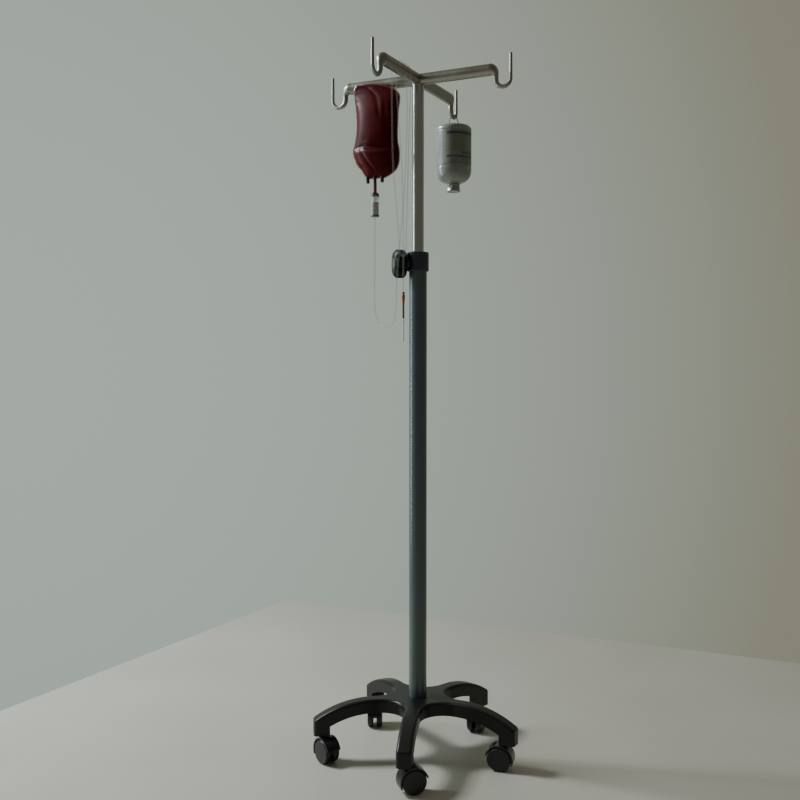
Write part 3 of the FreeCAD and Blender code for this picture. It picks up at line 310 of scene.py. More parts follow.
def lathed(name, profile, centre, sides=72):
    """A mesh turned about a vertical axis from (radius, height) points, bottom to top."""
    mesh = bmesh.new()
    rings = []
    for radius, height in profile:
        rings.append([mesh.verts.new((centre[0] + radius * math.cos(a),
                                      centre[1] + radius * math.sin(a), height))
                      for a in (2 * math.pi * k / sides for k in range(sides))])
    for first, second in zip(rings, rings[1:]):
        bridge(mesh, first, second)
    mesh.faces.new(rings[0][::-1])
    mesh.faces.new(rings[-1])
    return finished(name, mesh, turn_out=False)


def middle(low, high):
    """The middle of a box in x and y."""
    return (high[0] + low[0]) / 2, (high[1] + low[1]) / 2


hub_low, hub_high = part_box("needle_hub")
hub_length = hub_high[2] - hub_low[2]
# Each pair is a radius in millimetres and a share of the hub's length from its foot.
HUB_SHAPE = ((2.0, 0.0), (2.2, 0.10), (2.6, 0.30), (3.1, 0.55), (3.4, 0.70), (3.5, 0.74),
             (3.5, 0.80), (2.6, 0.83), (2.5, 0.90), (3.0, 0.93), (3.0, 0.985), (2.6, 1.0))
hub_profile = [(radius * MM, hub_low[2] + hub_length * share) for radius, share in HUB_SHAPE]
hub = add("needle_hub_turned", lathed("needle_hub_turned", hub_profile, middle(hub_low, hub_high), 32),
          finish("orange_plastic", (0.33, 0.125, 0.022), 0.3, spread=0.15, mottle=120.0), "pole")
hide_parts("needle_hub")
dress("needle_mount", finish("green_plastic", (0.10, 0.15, 0.10), 0.3))
dress("needle_sheath", finish("white_sheath", (0.78, 0.78, 0.74), 0.3))

# --- five-leg star ------------------------------------------------------------------------------
# One black glass-filled nylon moulding: arched hollow legs with a foot block at each end. Its skin
# is finely spark-grained, and all its edges are rubbed a little paler.
def rubbed_edges(material, radius, pale, amount):
    """Paler edges: the rounded normal of the bevel node differs from the flat one there."""
    tree = material.node_tree
    surface = tree.nodes["Principled BSDF"]
    rounded = tree.nodes.new("ShaderNodeBevel")
    rounded.inputs["Radius"].default_value = radius
    shape = tree.nodes.new("ShaderNodeNewGeometry")
    alike = tree.nodes.new("ShaderNodeVectorMath")
    alike.operation = "DOT_PRODUCT"
    tree.links.new(rounded.outputs["Normal"], alike.inputs[0])
    tree.links.new(shape.outputs["Normal"], alike.inputs[1])
    # The two normals are alike on a flat and differ on an edge, where the pale colour comes in.
    worn = tree.nodes.new("ShaderNodeMapRange")
    worn.inputs["From Min"].default_value = 0.995
    worn.inputs["From Max"].default_value = 0.90
    worn.inputs["To Max"].default_value = amount
    tree.links.new(alike.outputs["Value"], worn.inputs["Value"])
    broken = tree.nodes.new("ShaderNodeMath")
    broken.operation = "MULTIPLY"
    tree.links.new(worn.outputs["Result"], broken.inputs[0])
    tree.links.new(noise(tree.nodes, tree.links, 160.0), broken.inputs[1])
    mixed = tree.nodes.new("ShaderNodeMix")
    mixed.data_type = "RGBA"
    tree.links.new(broken.outputs["Value"], mixed.inputs["Factor"])
    tree.links.new(surface.inputs["Base Color"].links[0].from_socket, mixed.inputs["A"])
    mixed.inputs["B"].default_value = (*pale, 1.0)
    tree.links.new(mixed.outputs["Result"], surface.inputs["Base Color"])


nylon = finish("black_nylon", (0.0105, 0.0095, 0.009), 0.36, spread=0.3, mottle=9.0, grain=1400.0,
               depth=0.00008, wander=0.06)
tune(nylon, {"Specular IOR Level": 0.33})
rubbed_edges(nylon, 0.0012, (0.07, 0.062, 0.055), 0.45)
dress("base_star", nylon)

# --- base bolt, washer, tube insert and caster stems --------------------------------------------
# Zinc-plated steel: a hexagon bolt goes up through the hub into the insert in the tube's foot, and
# each caster's stem is pressed into a steel sleeve in its foot block.
zinc = finish("zinc_steel", (0.52, 0.53, 0.52), 0.32, 1.0, spread=0.1, mottle=40.0)
for name in ("base_bolt", "base_washer", "tube_foot_insert", "stem_sleeves", "caster_stems"):
    dress(name, zinc)

# --- lower tube ---------------------------------------------------------------------------------
# 38 mm steel tube, powder coated in a dark slate blue: a satin skin with faint orange peel, broad
# patches a little darker or lighter, and paler rims.
slate_paint = finish("slate_paint", (0.076, 0.104, 0.112), 0.34, spread=0.12, mottle=7.0,
                     grain=420.0, depth=0.00005, wander=0.04)
tune(slate_paint, {"Coat Weight": 0.5, "Coat Roughness": 0.2})
rubbed_edges(slate_paint, 0.0008, (0.20, 0.21, 0.21), 0.6)
dress("lower_tube", slate_paint)

# --- clamp collar, its nut and the plastic bearings ---------------------------------------------
# The collar is a dark navy nylon sleeve on the tube's end, its boss holding a round brass nut. A
# white acetal bush lines the tube's mouth; the slider and the clamp's shoe are acetal as well.
collar_plastic = finish("collar_plastic", (0.034, 0.044, 0.062), 0.38, spread=0.15, mottle=20.0,
                        grain=1600.0, depth=0.00006)
rubbed_edges(collar_plastic, 0.0007, (0.10, 0.12, 0.15), 0.7)
dress("clamp_collar", collar_plastic)
dress("clamp_nut", finish("turned_brass", (0.55, 0.40, 0.18), 0.3, 1.0))
acetal = finish("white_acetal", (0.62, 0.62, 0.58), 0.4)
for name in ("guide_bush", "pole_slider", "clamp_shoe"):
    dress(name, acetal)

# --- knob ---------------------------------------------------------------------------------------
# A black seven-lobed hand knob moulded on the clamp screw's head, with a snap-in cap in its face.
# The knob is matt, with its edges rubbed a little paler, and the cap is glossy.
knob_plastic = finish("knob_plastic", (0.007, 0.0068, 0.0068), 0.52, spread=0.25, mottle=50.0,
                      grain=1800.0, depth=0.00006, wander=0.08)
tune(knob_plastic, {"Specular IOR Level": 0.2})
rubbed_edges(knob_plastic, 0.0006, (0.026, 0.025, 0.024), 0.2)
dress("clamp_knob", knob_plastic)
dress("knob_cap", finish("knob_cap_plastic", (0.016, 0.016, 0.017), 0.22))
dress("clamp_screw", zinc)

# --- upper tube ---------------------------------------------------------------------------------
# Bright drawn stainless tube, polished along its length, so its faint lines run upwards. It slides
# in the lower tube's bush and is held by the clamp.
bright_steel = finish("bright_steel", (0.56, 0.56, 0.54), 0.17, 1.0, spread=0.05, mottle=5.0,
                      grain=1200.0, depth=0.0000015, wander=0.04, stretch=(1.0, 1.0, 0.01))
dress("upper_tube", bright_steel)

# --- hook arms ----------------------------------------------------------------------------------
# Four satin-ground stainless arms. Each one's end is swaged down, bent into a hook and tapered to
# its tip, and the four are welded to each other and to the upper tube's head.
ground_steel = finish("ground_steel", (0.345, 0.33, 0.29), 0.40, 1.0, spread=0.1, mottle=18.0,
                      grain=700.0, depth=0.00003, wander=0.07)
for name in ("right", "far", "left", "near"):
    dress("hook_arm_" + name, ground_steel)

cross_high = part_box("hook_arm_near")[1]
tube_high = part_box("upper_tube")[1]
ARM_RADIUS = 12.0 * MM
TUBE_RADIUS = tube_high[0]
HOOK_RISE = 30.0 * MM
CROSS_HEIGHT = cross_high[2] - HOOK_RISE
BEAD_RADIUS = 1.1 * MM
BEAD_SIDES = 8
OFF_SEAM = Vector((0.31, 0.23, 0.92))  # a direction that none of the seams runs in


def weld_bead(name, path):
    """A closed bead of weld along a seam, its ripples laid one over the other."""
    count = len(path)
    mesh = bmesh.new()
    rings = []
    for k in range(count):
        ahead = (path[(k + 1) % count] - path[k - 1]).normalized()
        side = ahead.cross(OFF_SEAM).normalized()
        up = ahead.cross(side)
        radius = BEAD_RADIUS * (1.0 + 0.16 * math.sin(k * 2.1) + 0.06 * math.sin(k * 0.37))
        rings.append([mesh.verts.new(path[k] + (side * math.cos(a) + up * math.sin(a)) * radius)
                      for a in (2 * math.pi * n / BEAD_SIDES for n in range(BEAD_SIDES))])
    for first, second in zip(rings, rings[1:] + rings[:1]):
        bridge(mesh, first, second)
    return finished(name, mesh)


SEAM_STEPS = 240
turns = [2 * math.pi * k / SEAM_STEPS for k in range(SEAM_STEPS)]
arm_seams = []
for slope in (1, -1):
    arm_seams.append([Vector((ARM_RADIUS * math.cos(a), slope * ARM_RADIUS * math.cos(a),
                              CROSS_HEIGHT + ARM_RADIUS * math.sin(a))) for a in turns])
head_seam = []
for a in turns:
    x, y = TUBE_RADIUS * math.cos(a), TUBE_RADIUS * math.sin(a)
    inner = min(abs(x), abs(y), ARM_RADIUS)
    head_seam.append(Vector((x, y, CROSS_HEIGHT - math.sqrt(ARM_RADIUS ** 2 - inner ** 2))))
weld_steel = finish("weld_steel", (0.34, 0.32, 0.28), 0.4, 1.0, spread=0.25, mottle=220.0)
for number, seam in enumerate(arm_seams + [head_seam]):
    bead_name = "cross_weld_%d" % number
    bead = add(bead_name, weld_bead(bead_name, seam), weld_steel, "pole")

# --- casters ------------------------------------------------------------------------------------
# Twin-wheel casters: a glossy black nylon hood over two nylon wheels on a steel axle. The wheels
# are satin, and the edges of hoods and wheels are scuffed paler.
hood_plastic = finish("hood_plastic", (0.009, 0.009, 0.0095), 0.25, spread=0.2, grain=1500.0,
                      depth=0.00004)
rubbed_edges(hood_plastic, 0.0007, (0.10, 0.10, 0.10), 0.6)
wheel_plastic = finish("wheel_plastic", (0.0095, 0.0095, 0.010), 0.40, spread=0.3, mottle=60.0,
                       grain=1500.0, depth=0.00006)
rubbed_edges(wheel_plastic, 0.0008, (0.07, 0.07, 0.068), 0.7)
for place_name in ("right", "back_right", "back_left", "left", "front"):
    dress("caster_hood_" + place_name, hood_plastic)
    dress("caster_axle_" + place_name, zinc)
    for letter in "ab":
        dress("caster_wheel_%s_%s" % (place_name, letter), wheel_plastic)


# --- bottle -------------------------------------------------------------------------------------
# A blow-moulded translucent bottle hung neck down, drawn in a little where its label goes, with a
# bead at each end of that band, a lug for the wire bail on top, and a crimped aluminium cap.
def bend_between(start, stop, corner, steps):
    """Points on the quadratic curve from start to stop that leaves along the lines to the corner."""
    spots = []
    for k in range(steps + 1):
        t = k / steps
        spots.append(tuple((1 - t) ** 2 * a + 2 * t * (1 - t) * c + t * t * b
                           for a, b, c in zip(start, stop, corner)))
    return spots


bottle_low, bottle_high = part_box("bottle")
cap_low, cap_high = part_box("bottle_cap")
BOTTLE_RADIUS = (bottle_high[0] - bottle_low[0]) / 2
BOTTLE_CENTRE = middle(bottle_low, bottle_high)
BOTTLE_FOOT = bottle_low[2]
LUG_HEIGHT = 3.8 * MM
BOTTLE_TOP = bottle_high[2] - LUG_HEIGHT
LABEL_FOOT = BOTTLE_TOP - 97 * MM
LABEL_HEAD = BOTTLE_TOP - 17 * MM
LABEL_SINK = 0.5 * MM
BEAD = 0.9 * MM
r = BOTTLE_RADIUS
# The bottle's side as (radius, height), from the neck's mouth up: neck ring, shoulder, the sunk band
# between its two beads, the rounded base's edge and the shallow steps of the base.
profile = [(14.0 * MM, BOTTLE_FOOT), (14.0 * MM, BOTTLE_FOOT + 3 * MM),
           (15.2 * MM, BOTTLE_FOOT + 4 * MM), (15.2 * MM, BOTTLE_FOOT + 5.6 * MM),
           (14.0 * MM, BOTTLE_FOOT + 6.6 * MM)]
profile += bend_between((15.0 * MM, BOTTLE_FOOT + 8 * MM), (r - 0.4 * MM, BOTTLE_FOOT + 36 * MM),
                        (r - 1.0 * MM, BOTTLE_FOOT + 13 * MM), 12)
profile += [(r, LABEL_FOOT - 7 * MM), (r, LABEL_FOOT - 2.0 * MM), (r - 0.2 * MM, LABEL_FOOT - 1.2 * MM),
            (r - LABEL_SINK - 0.5 * MM, LABEL_FOOT - 0.4 * MM), (r - LABEL_SINK, LABEL_FOOT),
            (r - LABEL_SINK, LABEL_HEAD), (r - LABEL_SINK - 0.3 * MM, LABEL_HEAD + 0.4 * MM),
            (r - 0.2 * MM, LABEL_HEAD + BEAD), (r, LABEL_HEAD + 1.8 * MM)]
profile += bend_between((r, LABEL_HEAD + 4 * MM), (r - 14 * MM, BOTTLE_TOP - 1.4 * MM),
                        (r - 0.6 * MM, BOTTLE_TOP - 2.6 * MM), 12)
profile += [(r - 17 * MM, BOTTLE_TOP - 1.1 * MM), (r - 18.5 * MM, BOTTLE_TOP - 0.3 * MM),
            (r - 20 * MM, BOTTLE_TOP - 0.9 * MM), (r - 26 * MM, BOTTLE_TOP - 0.6 * MM),
            (4 * MM, BOTTLE_TOP - 0.3 * MM)]
bottle_plastic = finish("bottle_plastic", (0.27, 0.285, 0.25), 0.27, spread=0.08, mottle=16.0,
                        grain=260.0, depth=0.00012, wander=0.05)
tune(bottle_plastic, {"Subsurface Weight": 0.25, "Subsurface Radius": (0.01, 0.01, 0.01),
                      "Coat Weight": 0.4, "Coat Roughness": 0.12})
shell_mesh = lathed("bottle_shell", profile, BOTTLE_CENTRE)
bottle_shell = add("bottle_shell", shell_mesh, bottle_plastic, "bottle")
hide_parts("bottle")


def lug_block(name, size, centre):
    """The moulded lug: a block with a round back and bevelled ends, which the bail's ends go into."""
    mesh = bmesh.new()
    length, depth, height = size
    bevel = 0.6 * MM
    steps = 10
    outline = [(-depth / 2, -bevel)]
    for k in range(steps + 1):
        a = math.pi - math.pi * k / steps
        outline.append((depth / 2 * math.cos(a), height - depth / 2 + depth / 2 * math.sin(a)))
    outline.append((depth / 2, -bevel))
    rings = []
    for shift in (-length / 2, -length / 2 + bevel, length / 2 - bevel, length / 2):
        inset = bevel if abs(shift) == length / 2 else 0.0
        rings.append([mesh.verts.new((centre[0] + shift, centre[1] + y * (1 - inset / depth * 2),
                                      centre[2] + z * (1 - inset / height))) for y, z in outline])
    for first, second in zip(rings, rings[1:]):
        bridge(mesh, first, second)
    mesh.faces.new(rings[0][::-1])
    mesh.faces.new(rings[-1])
    return finished(name, mesh)


LUG_SINK = 0.4 * MM
lug_mesh = lug_block("bottle_lug", (20 * MM, 7 * MM, LUG_HEIGHT + LUG_SINK),
                     (BOTTLE_CENTRE[0], BOTTLE_CENTRE[1], BOTTLE_TOP - LUG_SINK))
lug = add("bottle_lug", lug_mesh, bottle_plastic, "bottle")

# The label is a printed film in the sunk band: plain rules and bars of dark ink, a pale green
# panel, and a column of short bars at one side. None of it can be read.
LABEL_TURN = math.radians(-66.9)
LABEL_HALF = math.radians(118.0)
LABEL_COLUMNS = 200
LABEL_ROWS = 80
LABEL_MARGIN = 0.8 * MM
LABEL_STANDS_OFF = 0.18 * MM
LABEL_THICK = 0.1 * MM
LABEL_HEIGHT = LABEL_HEAD - LABEL_FOOT - 2 * LABEL_MARGIN
PAPER, INK, PANEL, GREY = 0, 1, 2, 3


def label_print(angle, rise):
    """The finish at a spot of the label: angle in degrees from its middle, rise from 0 to 1."""
    word = math.sin(angle * 1.9 + math.floor(rise * 40) * 2.3) + math.sin(angle * 0.83 + rise * 31.0)
    if 0.87 < rise < 0.94 and -21 < angle < 100:
        return INK
    if 0.838 < rise < 0.852 and -21 < angle < 100:
        return GREY
    if 0.44 < rise < 0.82 and -4 < angle < 40:
        return PANEL
    if 0.40 < rise < 0.412 and -24 < angle < 100:
        return GREY
    if 0.315 < rise < 0.375 and 26 < angle < 100 and word > -0.5:
        return INK
    if 0.215 < rise < 0.275 and -22 < angle < 100 and word > -0.6:
        return INK
    if (0.14 < rise < 0.155 or 0.09 < rise < 0.105 or 0.185 < rise < 0.197) and -10 < angle < 100:
        return GREY
    if -52 < angle < -44 and 0.22 < rise < 0.86 and math.sin(rise * 210) + math.sin(rise * 61) > -0.4:
        return INK
    if -36 < angle < -34 and 0.18 < rise < 0.9:
        return GREY
    if (0.955 < rise < 0.965 or 0.04 < rise < 0.05) and angle > -60:
        return GREY
    return PAPER


def close_sheets(mesh, front, back):
    """Faces of two sheets of points and of the edge between them; gives the front ones by rows."""
    rows, columns = len(front) - 1, len(front[0]) - 1
    front_faces = []
    for row in range(rows):
        low, high, low_back, high_back = front[row], front[row + 1], back[row], back[row + 1]
        for column in range(columns):
            n = column + 1
            front_faces.append(mesh.faces.new((low[column], low[n], high[n], high[column])))
            mesh.faces.new((low_back[column], high_back[column], high_back[n], low_back[n]))
        for column in (0, columns):
            mesh.faces.new((low[column], high[column], high_back[column], low_back[column]))
    for column in range(columns):
        n = column + 1
        for row in (0, rows):
            mesh.faces.new((front[row][column], front[row][n], back[row][n], back[row][column]))
    return front_faces


def label_film(name):
    """A thin curved film in the sunk band, each of its faces in the finish that is printed there."""
    mesh = bmesh.new()
    face_radius = BOTTLE_RADIUS - LABEL_SINK + LABEL_STANDS_OFF
    sheets = []
    for radius in (face_radius, face_radius - LABEL_THICK):
        grid = []
        for row in range(LABEL_ROWS + 1):
            height = LABEL_FOOT + LABEL_MARGIN + LABEL_HEIGHT * row / LABEL_ROWS
            line = []
            for column in range(LABEL_COLUMNS + 1):
                a = LABEL_TURN - LABEL_HALF + 2 * LABEL_HALF * column / LABEL_COLUMNS
                line.append(mesh.verts.new((BOTTLE_CENTRE[0] + radius * math.cos(a),
                                            BOTTLE_CENTRE[1] + radius * math.sin(a), height)))
            grid.append(line)
        sheets.append(grid)
    for number, face in enumerate(close_sheets(mesh, *sheets)):
        row, column = divmod(number, LABEL_COLUMNS)
        angle = math.degrees(-LABEL_HALF + 2 * LABEL_HALF * (column + 0.5) / LABEL_COLUMNS)
        face.material_index = label_print(angle, (row + 0.5) / LABEL_ROWS)
    return finished(name, mesh)


LABEL_GRAIN = 0.00002
paper = finish("label_film", (0.225, 0.24, 0.21), 0.38, spread=0.06, mottle=30.0, grain=700.0,
               depth=LABEL_GRAIN)
label = add("bottle_label", label_film("bottle_label"), paper, "bottle")
for print_name, print_colour, print_roughness, print_spread, print_mottle, print_grain in (
        ("label_ink", (0.055, 0.058, 0.052), 0.42, 0.4, 500.0, 900.0),
        ("label_panel", (0.19, 0.205, 0.145), 0.38, 0.08, 60.0, 700.0),
        ("label_grey_ink", (0.11, 0.115, 0.10), 0.4, 0.3, 500.0, 900.0)):
    label.data.materials.append(finish(print_name, print_colour, print_roughness, spread=print_spread,
                                       mottle=print_mottle, grain=print_grain, depth=LABEL_GRAIN))

# The cap is a soft aluminium sleeve crimped over the neck's ring, with rolled teeth at its top edge.
CAP_TEETH = 36
TOOTH_HEIGHT = 3.2 * MM
TOOTH_PINCH = 0.022
CAP_RADIUS = (cap_high[0] - cap_low[0]) / 2
CAP_FOOT, CAP_HEAD = cap_low[2], cap_high[2]
cap_metal = finish("crimped_aluminium", (0.40, 0.41, 0.40), 0.33, 1.0, spread=0.12, mottle=120.0)
cap_profile = [(2 * MM, CAP_FOOT + 0.4 * MM), (9 * MM, CAP_FOOT + 0.4 * MM), (9.6 * MM, CAP_FOOT),
               (CAP_RADIUS - 1.4 * MM, CAP_FOOT), (CAP_RADIUS - 0.5 * MM, CAP_FOOT + 0.5 * MM),
               (CAP_RADIUS, CAP_FOOT + 1.6 * MM), (CAP_RADIUS, CAP_FOOT + 4.0 * MM),
               (CAP_RADIUS - 1.2 * MM, CAP_FOOT + 5.4 * MM),
               (CAP_RADIUS - 1.0 * MM, CAP_HEAD - 2.6 * MM),
               (CAP_RADIUS - 0.2 * MM, CAP_HEAD - 1.6 * MM),
               (CAP_RADIUS - 1.2 * MM, CAP_HEAD - 0.3 * MM), (13.2 * MM, CAP_HEAD)]
cap_mesh = lathed("bottle_crimp", cap_profile, BOTTLE_CENTRE, CAP_TEETH * 4)
for vertex in cap_mesh.vertices:
    if vertex.co.z > CAP_HEAD - TOOTH_HEIGHT:
        x, y = vertex.co.x - BOTTLE_CENTRE[0], vertex.co.y - BOTTLE_CENTRE[1]
        pinch = 1 - TOOTH_PINCH * (1 + math.cos(CAP_TEETH * math.atan2(y, x)))
        vertex.co.x = BOTTLE_CENTRE[0] + x * pinch
        vertex.co.y = BOTTLE_CENTRE[1] + y * pinch
crimp = add("bottle_crimp", cap_mesh, cap_metal, "bottle")
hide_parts("bottle_cap")
dress("bottle_bail", finish("dark_wire", (0.05, 0.05, 0.05), 0.35, 1.0))


# --- blood bag ----------------------------------------------------------------------------------
# Two sheets of clear vinyl welded round their edge and full of blood. It hangs by a strap from the
# arm, narrows at its waist, folds over at the foot of the full part and bulges below the fold.
BAG_TOP = 1.44
BAG_FOOT = 1.24
BAG_PLANE = -14.9 * MM
BAG_HALF_DEPTH = 17.0 * MM
FILM_THICK = 0.25 * MM
# The bag's two edges as (share of its height, x in millimetres), and how full it is at each height.
LEFT_EDGE = ((0.0, -111.5), (0.025, -117.0), (0.09, -126.0), (0.165, -138.0), (0.25, -144.8),
             (0.31, -146.6), (0.38, -143.0), (0.46, -139.4), (0.56, -137.6), (0.66, -137.8),
             (0.76, -139.8), (0.86, -142.6), (0.94, -144.0), (0.985, -142.0), (1.0, -139.0))
RIGHT_EDGE = ((0.0, -70.0), (0.02, -60.5), (0.07, -46.0), (0.135, -39.6), (0.21, -38.0),
              (0.28, -38.4), (0.36, -41.6), (0.46, -42.4), (0.58, -41.4), (0.68, -40.2),
              (0.76, -37.8), (0.83, -37.2), (0.87, -40.5), (0.91, -49.0), (0.945, -64.0),
              (0.972, -82.0), (1.0, -108.0))
FULLNESS = ((0.0, 0.10), (0.03, 0.42), (0.09, 0.78), (0.18, 1.0), (0.27, 0.98), (0.32, 0.86),
            (0.37, 0.90), (0.48, 1.0), (0.60, 0.98), (0.72, 0.82), (0.82, 0.56), (0.90, 0.30),
            (0.96, 0.13), (1.0, 0.06))
BAG_COLUMNS = 44
BAG_ROWS = 84
WELD_WIDTH = 2.4 * MM
WELD_THICK = 0.5 * MM
RIM_HALF_DEPTH = 0.9 * MM


def along(knots, share):
    """The smooth value of a list of (share, value) knots."""
    spots = [knot[0] for knot in knots]
    numbers = [knot[1] for knot in knots]
    last = len(knots) - 1
    k = max(1, min(last, int(np.searchsorted(spots, share))))
    before, after = max(k - 2, 0), min(k + 1, last)
    wide = spots[k] - spots[k - 1]
    t = (share - spots[k - 1]) / wide
    a, b = numbers[k - 1], numbers[k]
    slope_a = (b - numbers[before]) / (spots[k] - spots[before]) * wide
    slope_b = (numbers[after] - a) / (spots[after] - spots[k - 1]) * wide
    t2, t3 = t * t, t * t * t
    return ((2 * t3 - 3 * t2 + 1) * a + (t3 - 2 * t2 + t) * slope_a
            + (3 * t2 - 2 * t3) * b + (t3 - t2) * slope_b)


def edges(up):
    """The x of the bag's left and right edge at a share of its height."""
    return along(LEFT_EDGE, up) * MM, along(RIGHT_EDGE, up) * MM


def height_at(up):
    """The height in metres at a share of the bag's height."""
    return BAG_FOOT + (BAG_TOP - BAG_FOOT) * up


def limited(value):
    """The value, kept between 0 and 1."""
    return min(1.0, max(0.0, value))


def share_of_height(spot):
    """How far up the bag a point is, from 0 to 1."""
    return limited((spot.z - BAG_FOOT) / (BAG_TOP - BAG_FOOT))


def hump(distance, width):
    """1 at no distance, falling off smoothly over the width."""
    return math.exp(-(distance / width) ** 2)


def fold_line(across):
    """Height of the fold above the pouch, from the bag's left edge (0) to its right (1)."""
    return 0.320 + 0.024 * hump(across - 0.24, 0.13) - 0.030 * across


def bag_depth(across, up):
    """How far the filled film stands off the bag's middle plane before its folds are pressed in."""
    rim = 2 * across - 1
    crown = max(0.0, 1 - abs(rim) ** 2.6) ** 0.62
    return max(BAG_HALF_DEPTH * along(FULLNESS, up) * crown, FILM_THICK)


def pouch(name):
    """The filled film: front and back sheets on one grid, closed along their edge."""
    mesh = bmesh.new()
    sheets = []
    for way in (-1, 1):
        grid = []
        for row in range(BAG_ROWS + 1):
            up = row / BAG_ROWS
            left, right = edges(up)
            line = []
            for column in range(BAG_COLUMNS + 1):
                across = 0.5 - 0.5 * math.cos(math.pi * column / BAG_COLUMNS)
                line.append(mesh.verts.new((left + (right - left) * across,
                                            BAG_PLANE + way * bag_depth(across, up), height_at(up))))
            grid.append(line)
        sheets.append(grid)
    close_sheets(mesh, *sheets)
    return finished(name, mesh)


blood_film, film_nodes, film_links, film = shader("blood_film", (0.065, 0.0008, 0.001), 0.3)
film_patches = noise(film_nodes, film_links, 22.0, 3.0)
vary_colour(film_nodes, film_links, film, film_patches,
            (0.050, 0.0005, 0.0007), (0.095, 0.0012, 0.0016))
vary_roughness(film_nodes, film_links, film, film_patches, 0.38, 0.50)
roughen(film_nodes, film_links, film, noise(film_nodes, film_links, 240.0, 2.0), 0.0002, 0.25)
tune(blood_film, {"Specular IOR Level": 0.09, "Coat Weight": 0.06, "Coat Roughness": 0.2})


def fill_with_pressure(piece, frames, pressure, slack, farthest, held):
    """Cloth under inner pressure, its film a little too long for its outline, so that it puckers.

    The points that held gives as 1 stay where they are, and no point moves more than farthest.
    """
    film_mesh = piece.data
    start = [vertex.co.copy() for vertex in film_mesh.vertices]
    pins = piece.vertex_groups.new(name="weld")
    for vertex in film_mesh.vertices:
        hold = held(vertex.co)
        if hold > 0:
            pins.add([vertex.index], hold, "REPLACE")
    cloth = piece.modifiers.new("filling", "CLOTH")
    film_rules = cloth.settings
    film_rules.quality = 6
    film_rules.mass = 0.2
    film_rules.tension_stiffness = 12
    film_rules.compression_stiffness = 12
    film_rules.shear_stiffness = 6
    film_rules.bending_stiffness = 0.6
    film_rules.air_damping = 3
    film_rules.use_pressure = True
    film_rules.uniform_pressure_force = pressure
    film_rules.shrink_min = -slack
    film_rules.vertex_group_mass = "weld"
    film_rules.effector_weights.gravity = 0.0
    cloth.collision_settings.use_collision = False
    cloth.point_cache.frame_start = 1
    cloth.point_cache.frame_end = frames
    scene = bpy.context.scene
    for frame_number in range(1, frames + 1):
        scene.frame_set(frame_number)
        bpy.context.view_layer.update()
    settled = piece.evaluated_get(bpy.context.evaluated_depsgraph_get()).data
    moved = [vertex.co.copy() for vertex in settled.vertices]
    piece.modifiers.remove(cloth)
    piece.vertex_groups.clear()
    scene.frame_set(1)
    for vertex, old, new in zip(film_mesh.vertices, start, moved):
        step = new - old
        if step.length > farthest:
            step *= farthest / step.length
        vertex.co = old + step


def weld_hold(spot):
    """1 in the welded rim, 0 in the free film."""
    up = share_of_height(spot)
    return 1.0 if abs(spot.y - BAG_PLANE) < RIM_HALF_DEPTH or up > 0.985 or up < 0.012 else 0.0


FOLD_DEPTH = 2.6 * MM
POUCH_BULGE = 2.4 * MM
POUCH_CREASE_DEPTH = 1.7 * MM
SHOULDER_CREASE_DEPTH = 1.3 * MM
SIDE_DENT_DEPTH = 1.6 * MM
BACK_FOLD_DEPTH = 2.2 * MM


def press_folds(piece):
    """Presses the folds into the film; across and up run from 0 to 1 over the bag.

    In front these are the fold above the pouch, the pouch's bulge below it, a slanting crease down
    the pouch, another from the shoulder, and a long dent at the right; behind, the fold alone.
    """
    for vertex in piece.data.vertices:
        spot = vertex.co
        up = share_of_height(spot)
        left, right = edges(up)
        across = limited((spot.x - left) / (right - left))
        fade = max(0.0, 1 - abs(2 * across - 1) ** 6)
        below = fold_line(across) - up
        if spot.y < BAG_PLANE:
            dent = FOLD_DEPTH * hump(below, 0.018) * limited(2.6 * across)
            dent -= POUCH_BULGE * hump(below - 0.055, 0.04) * limited(0.25 + 2.2 * across)
            dent += (POUCH_CREASE_DEPTH * hump(across - 0.22 - 0.75 * max(0.0, 0.30 - up), 0.034)
                     * limited(below / 0.03) * limited(up / 0.12))
            dent += (SHOULDER_CREASE_DEPTH * hump(across + 0.55 * up - 0.98, 0.05)
                     * limited((up - 0.55) / 0.15))
            dent += (SIDE_DENT_DEPTH * hump(across - 0.80 + 0.3 * (up - 0.5), 0.05)
                     * limited((up - 0.36) / 0.1) * limited((0.86 - up) / 0.2))
            spot.y += dent * fade
        else:
            spot.y -= BACK_FOLD_DEPTH * hump(below, 0.02) * fade


blood_bag = add("blood_pouch", pouch("blood_pouch"), blood_film, "bag_set")
fill_with_pressure(blood_bag, frames=20, pressure=2.5, slack=0.002, farthest=5.0 * MM,
                   held=weld_hold)
press_folds(blood_bag)
smooth_film = blood_bag.modifiers.new("smooth_film", "SUBSURF")
smooth_film.levels = 1
smooth_film.render_levels = 1
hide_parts("blood_bag")

# The weld is a flat, paler border of clear film round the pouch, with no blood in it.
border_film = finish("weld_border", (0.27, 0.085, 0.075), 0.22, spread=0.2, mottle=90.0, grain=500.0,
                     depth=0.00005)
tune(border_film, {"Alpha": 0.62})


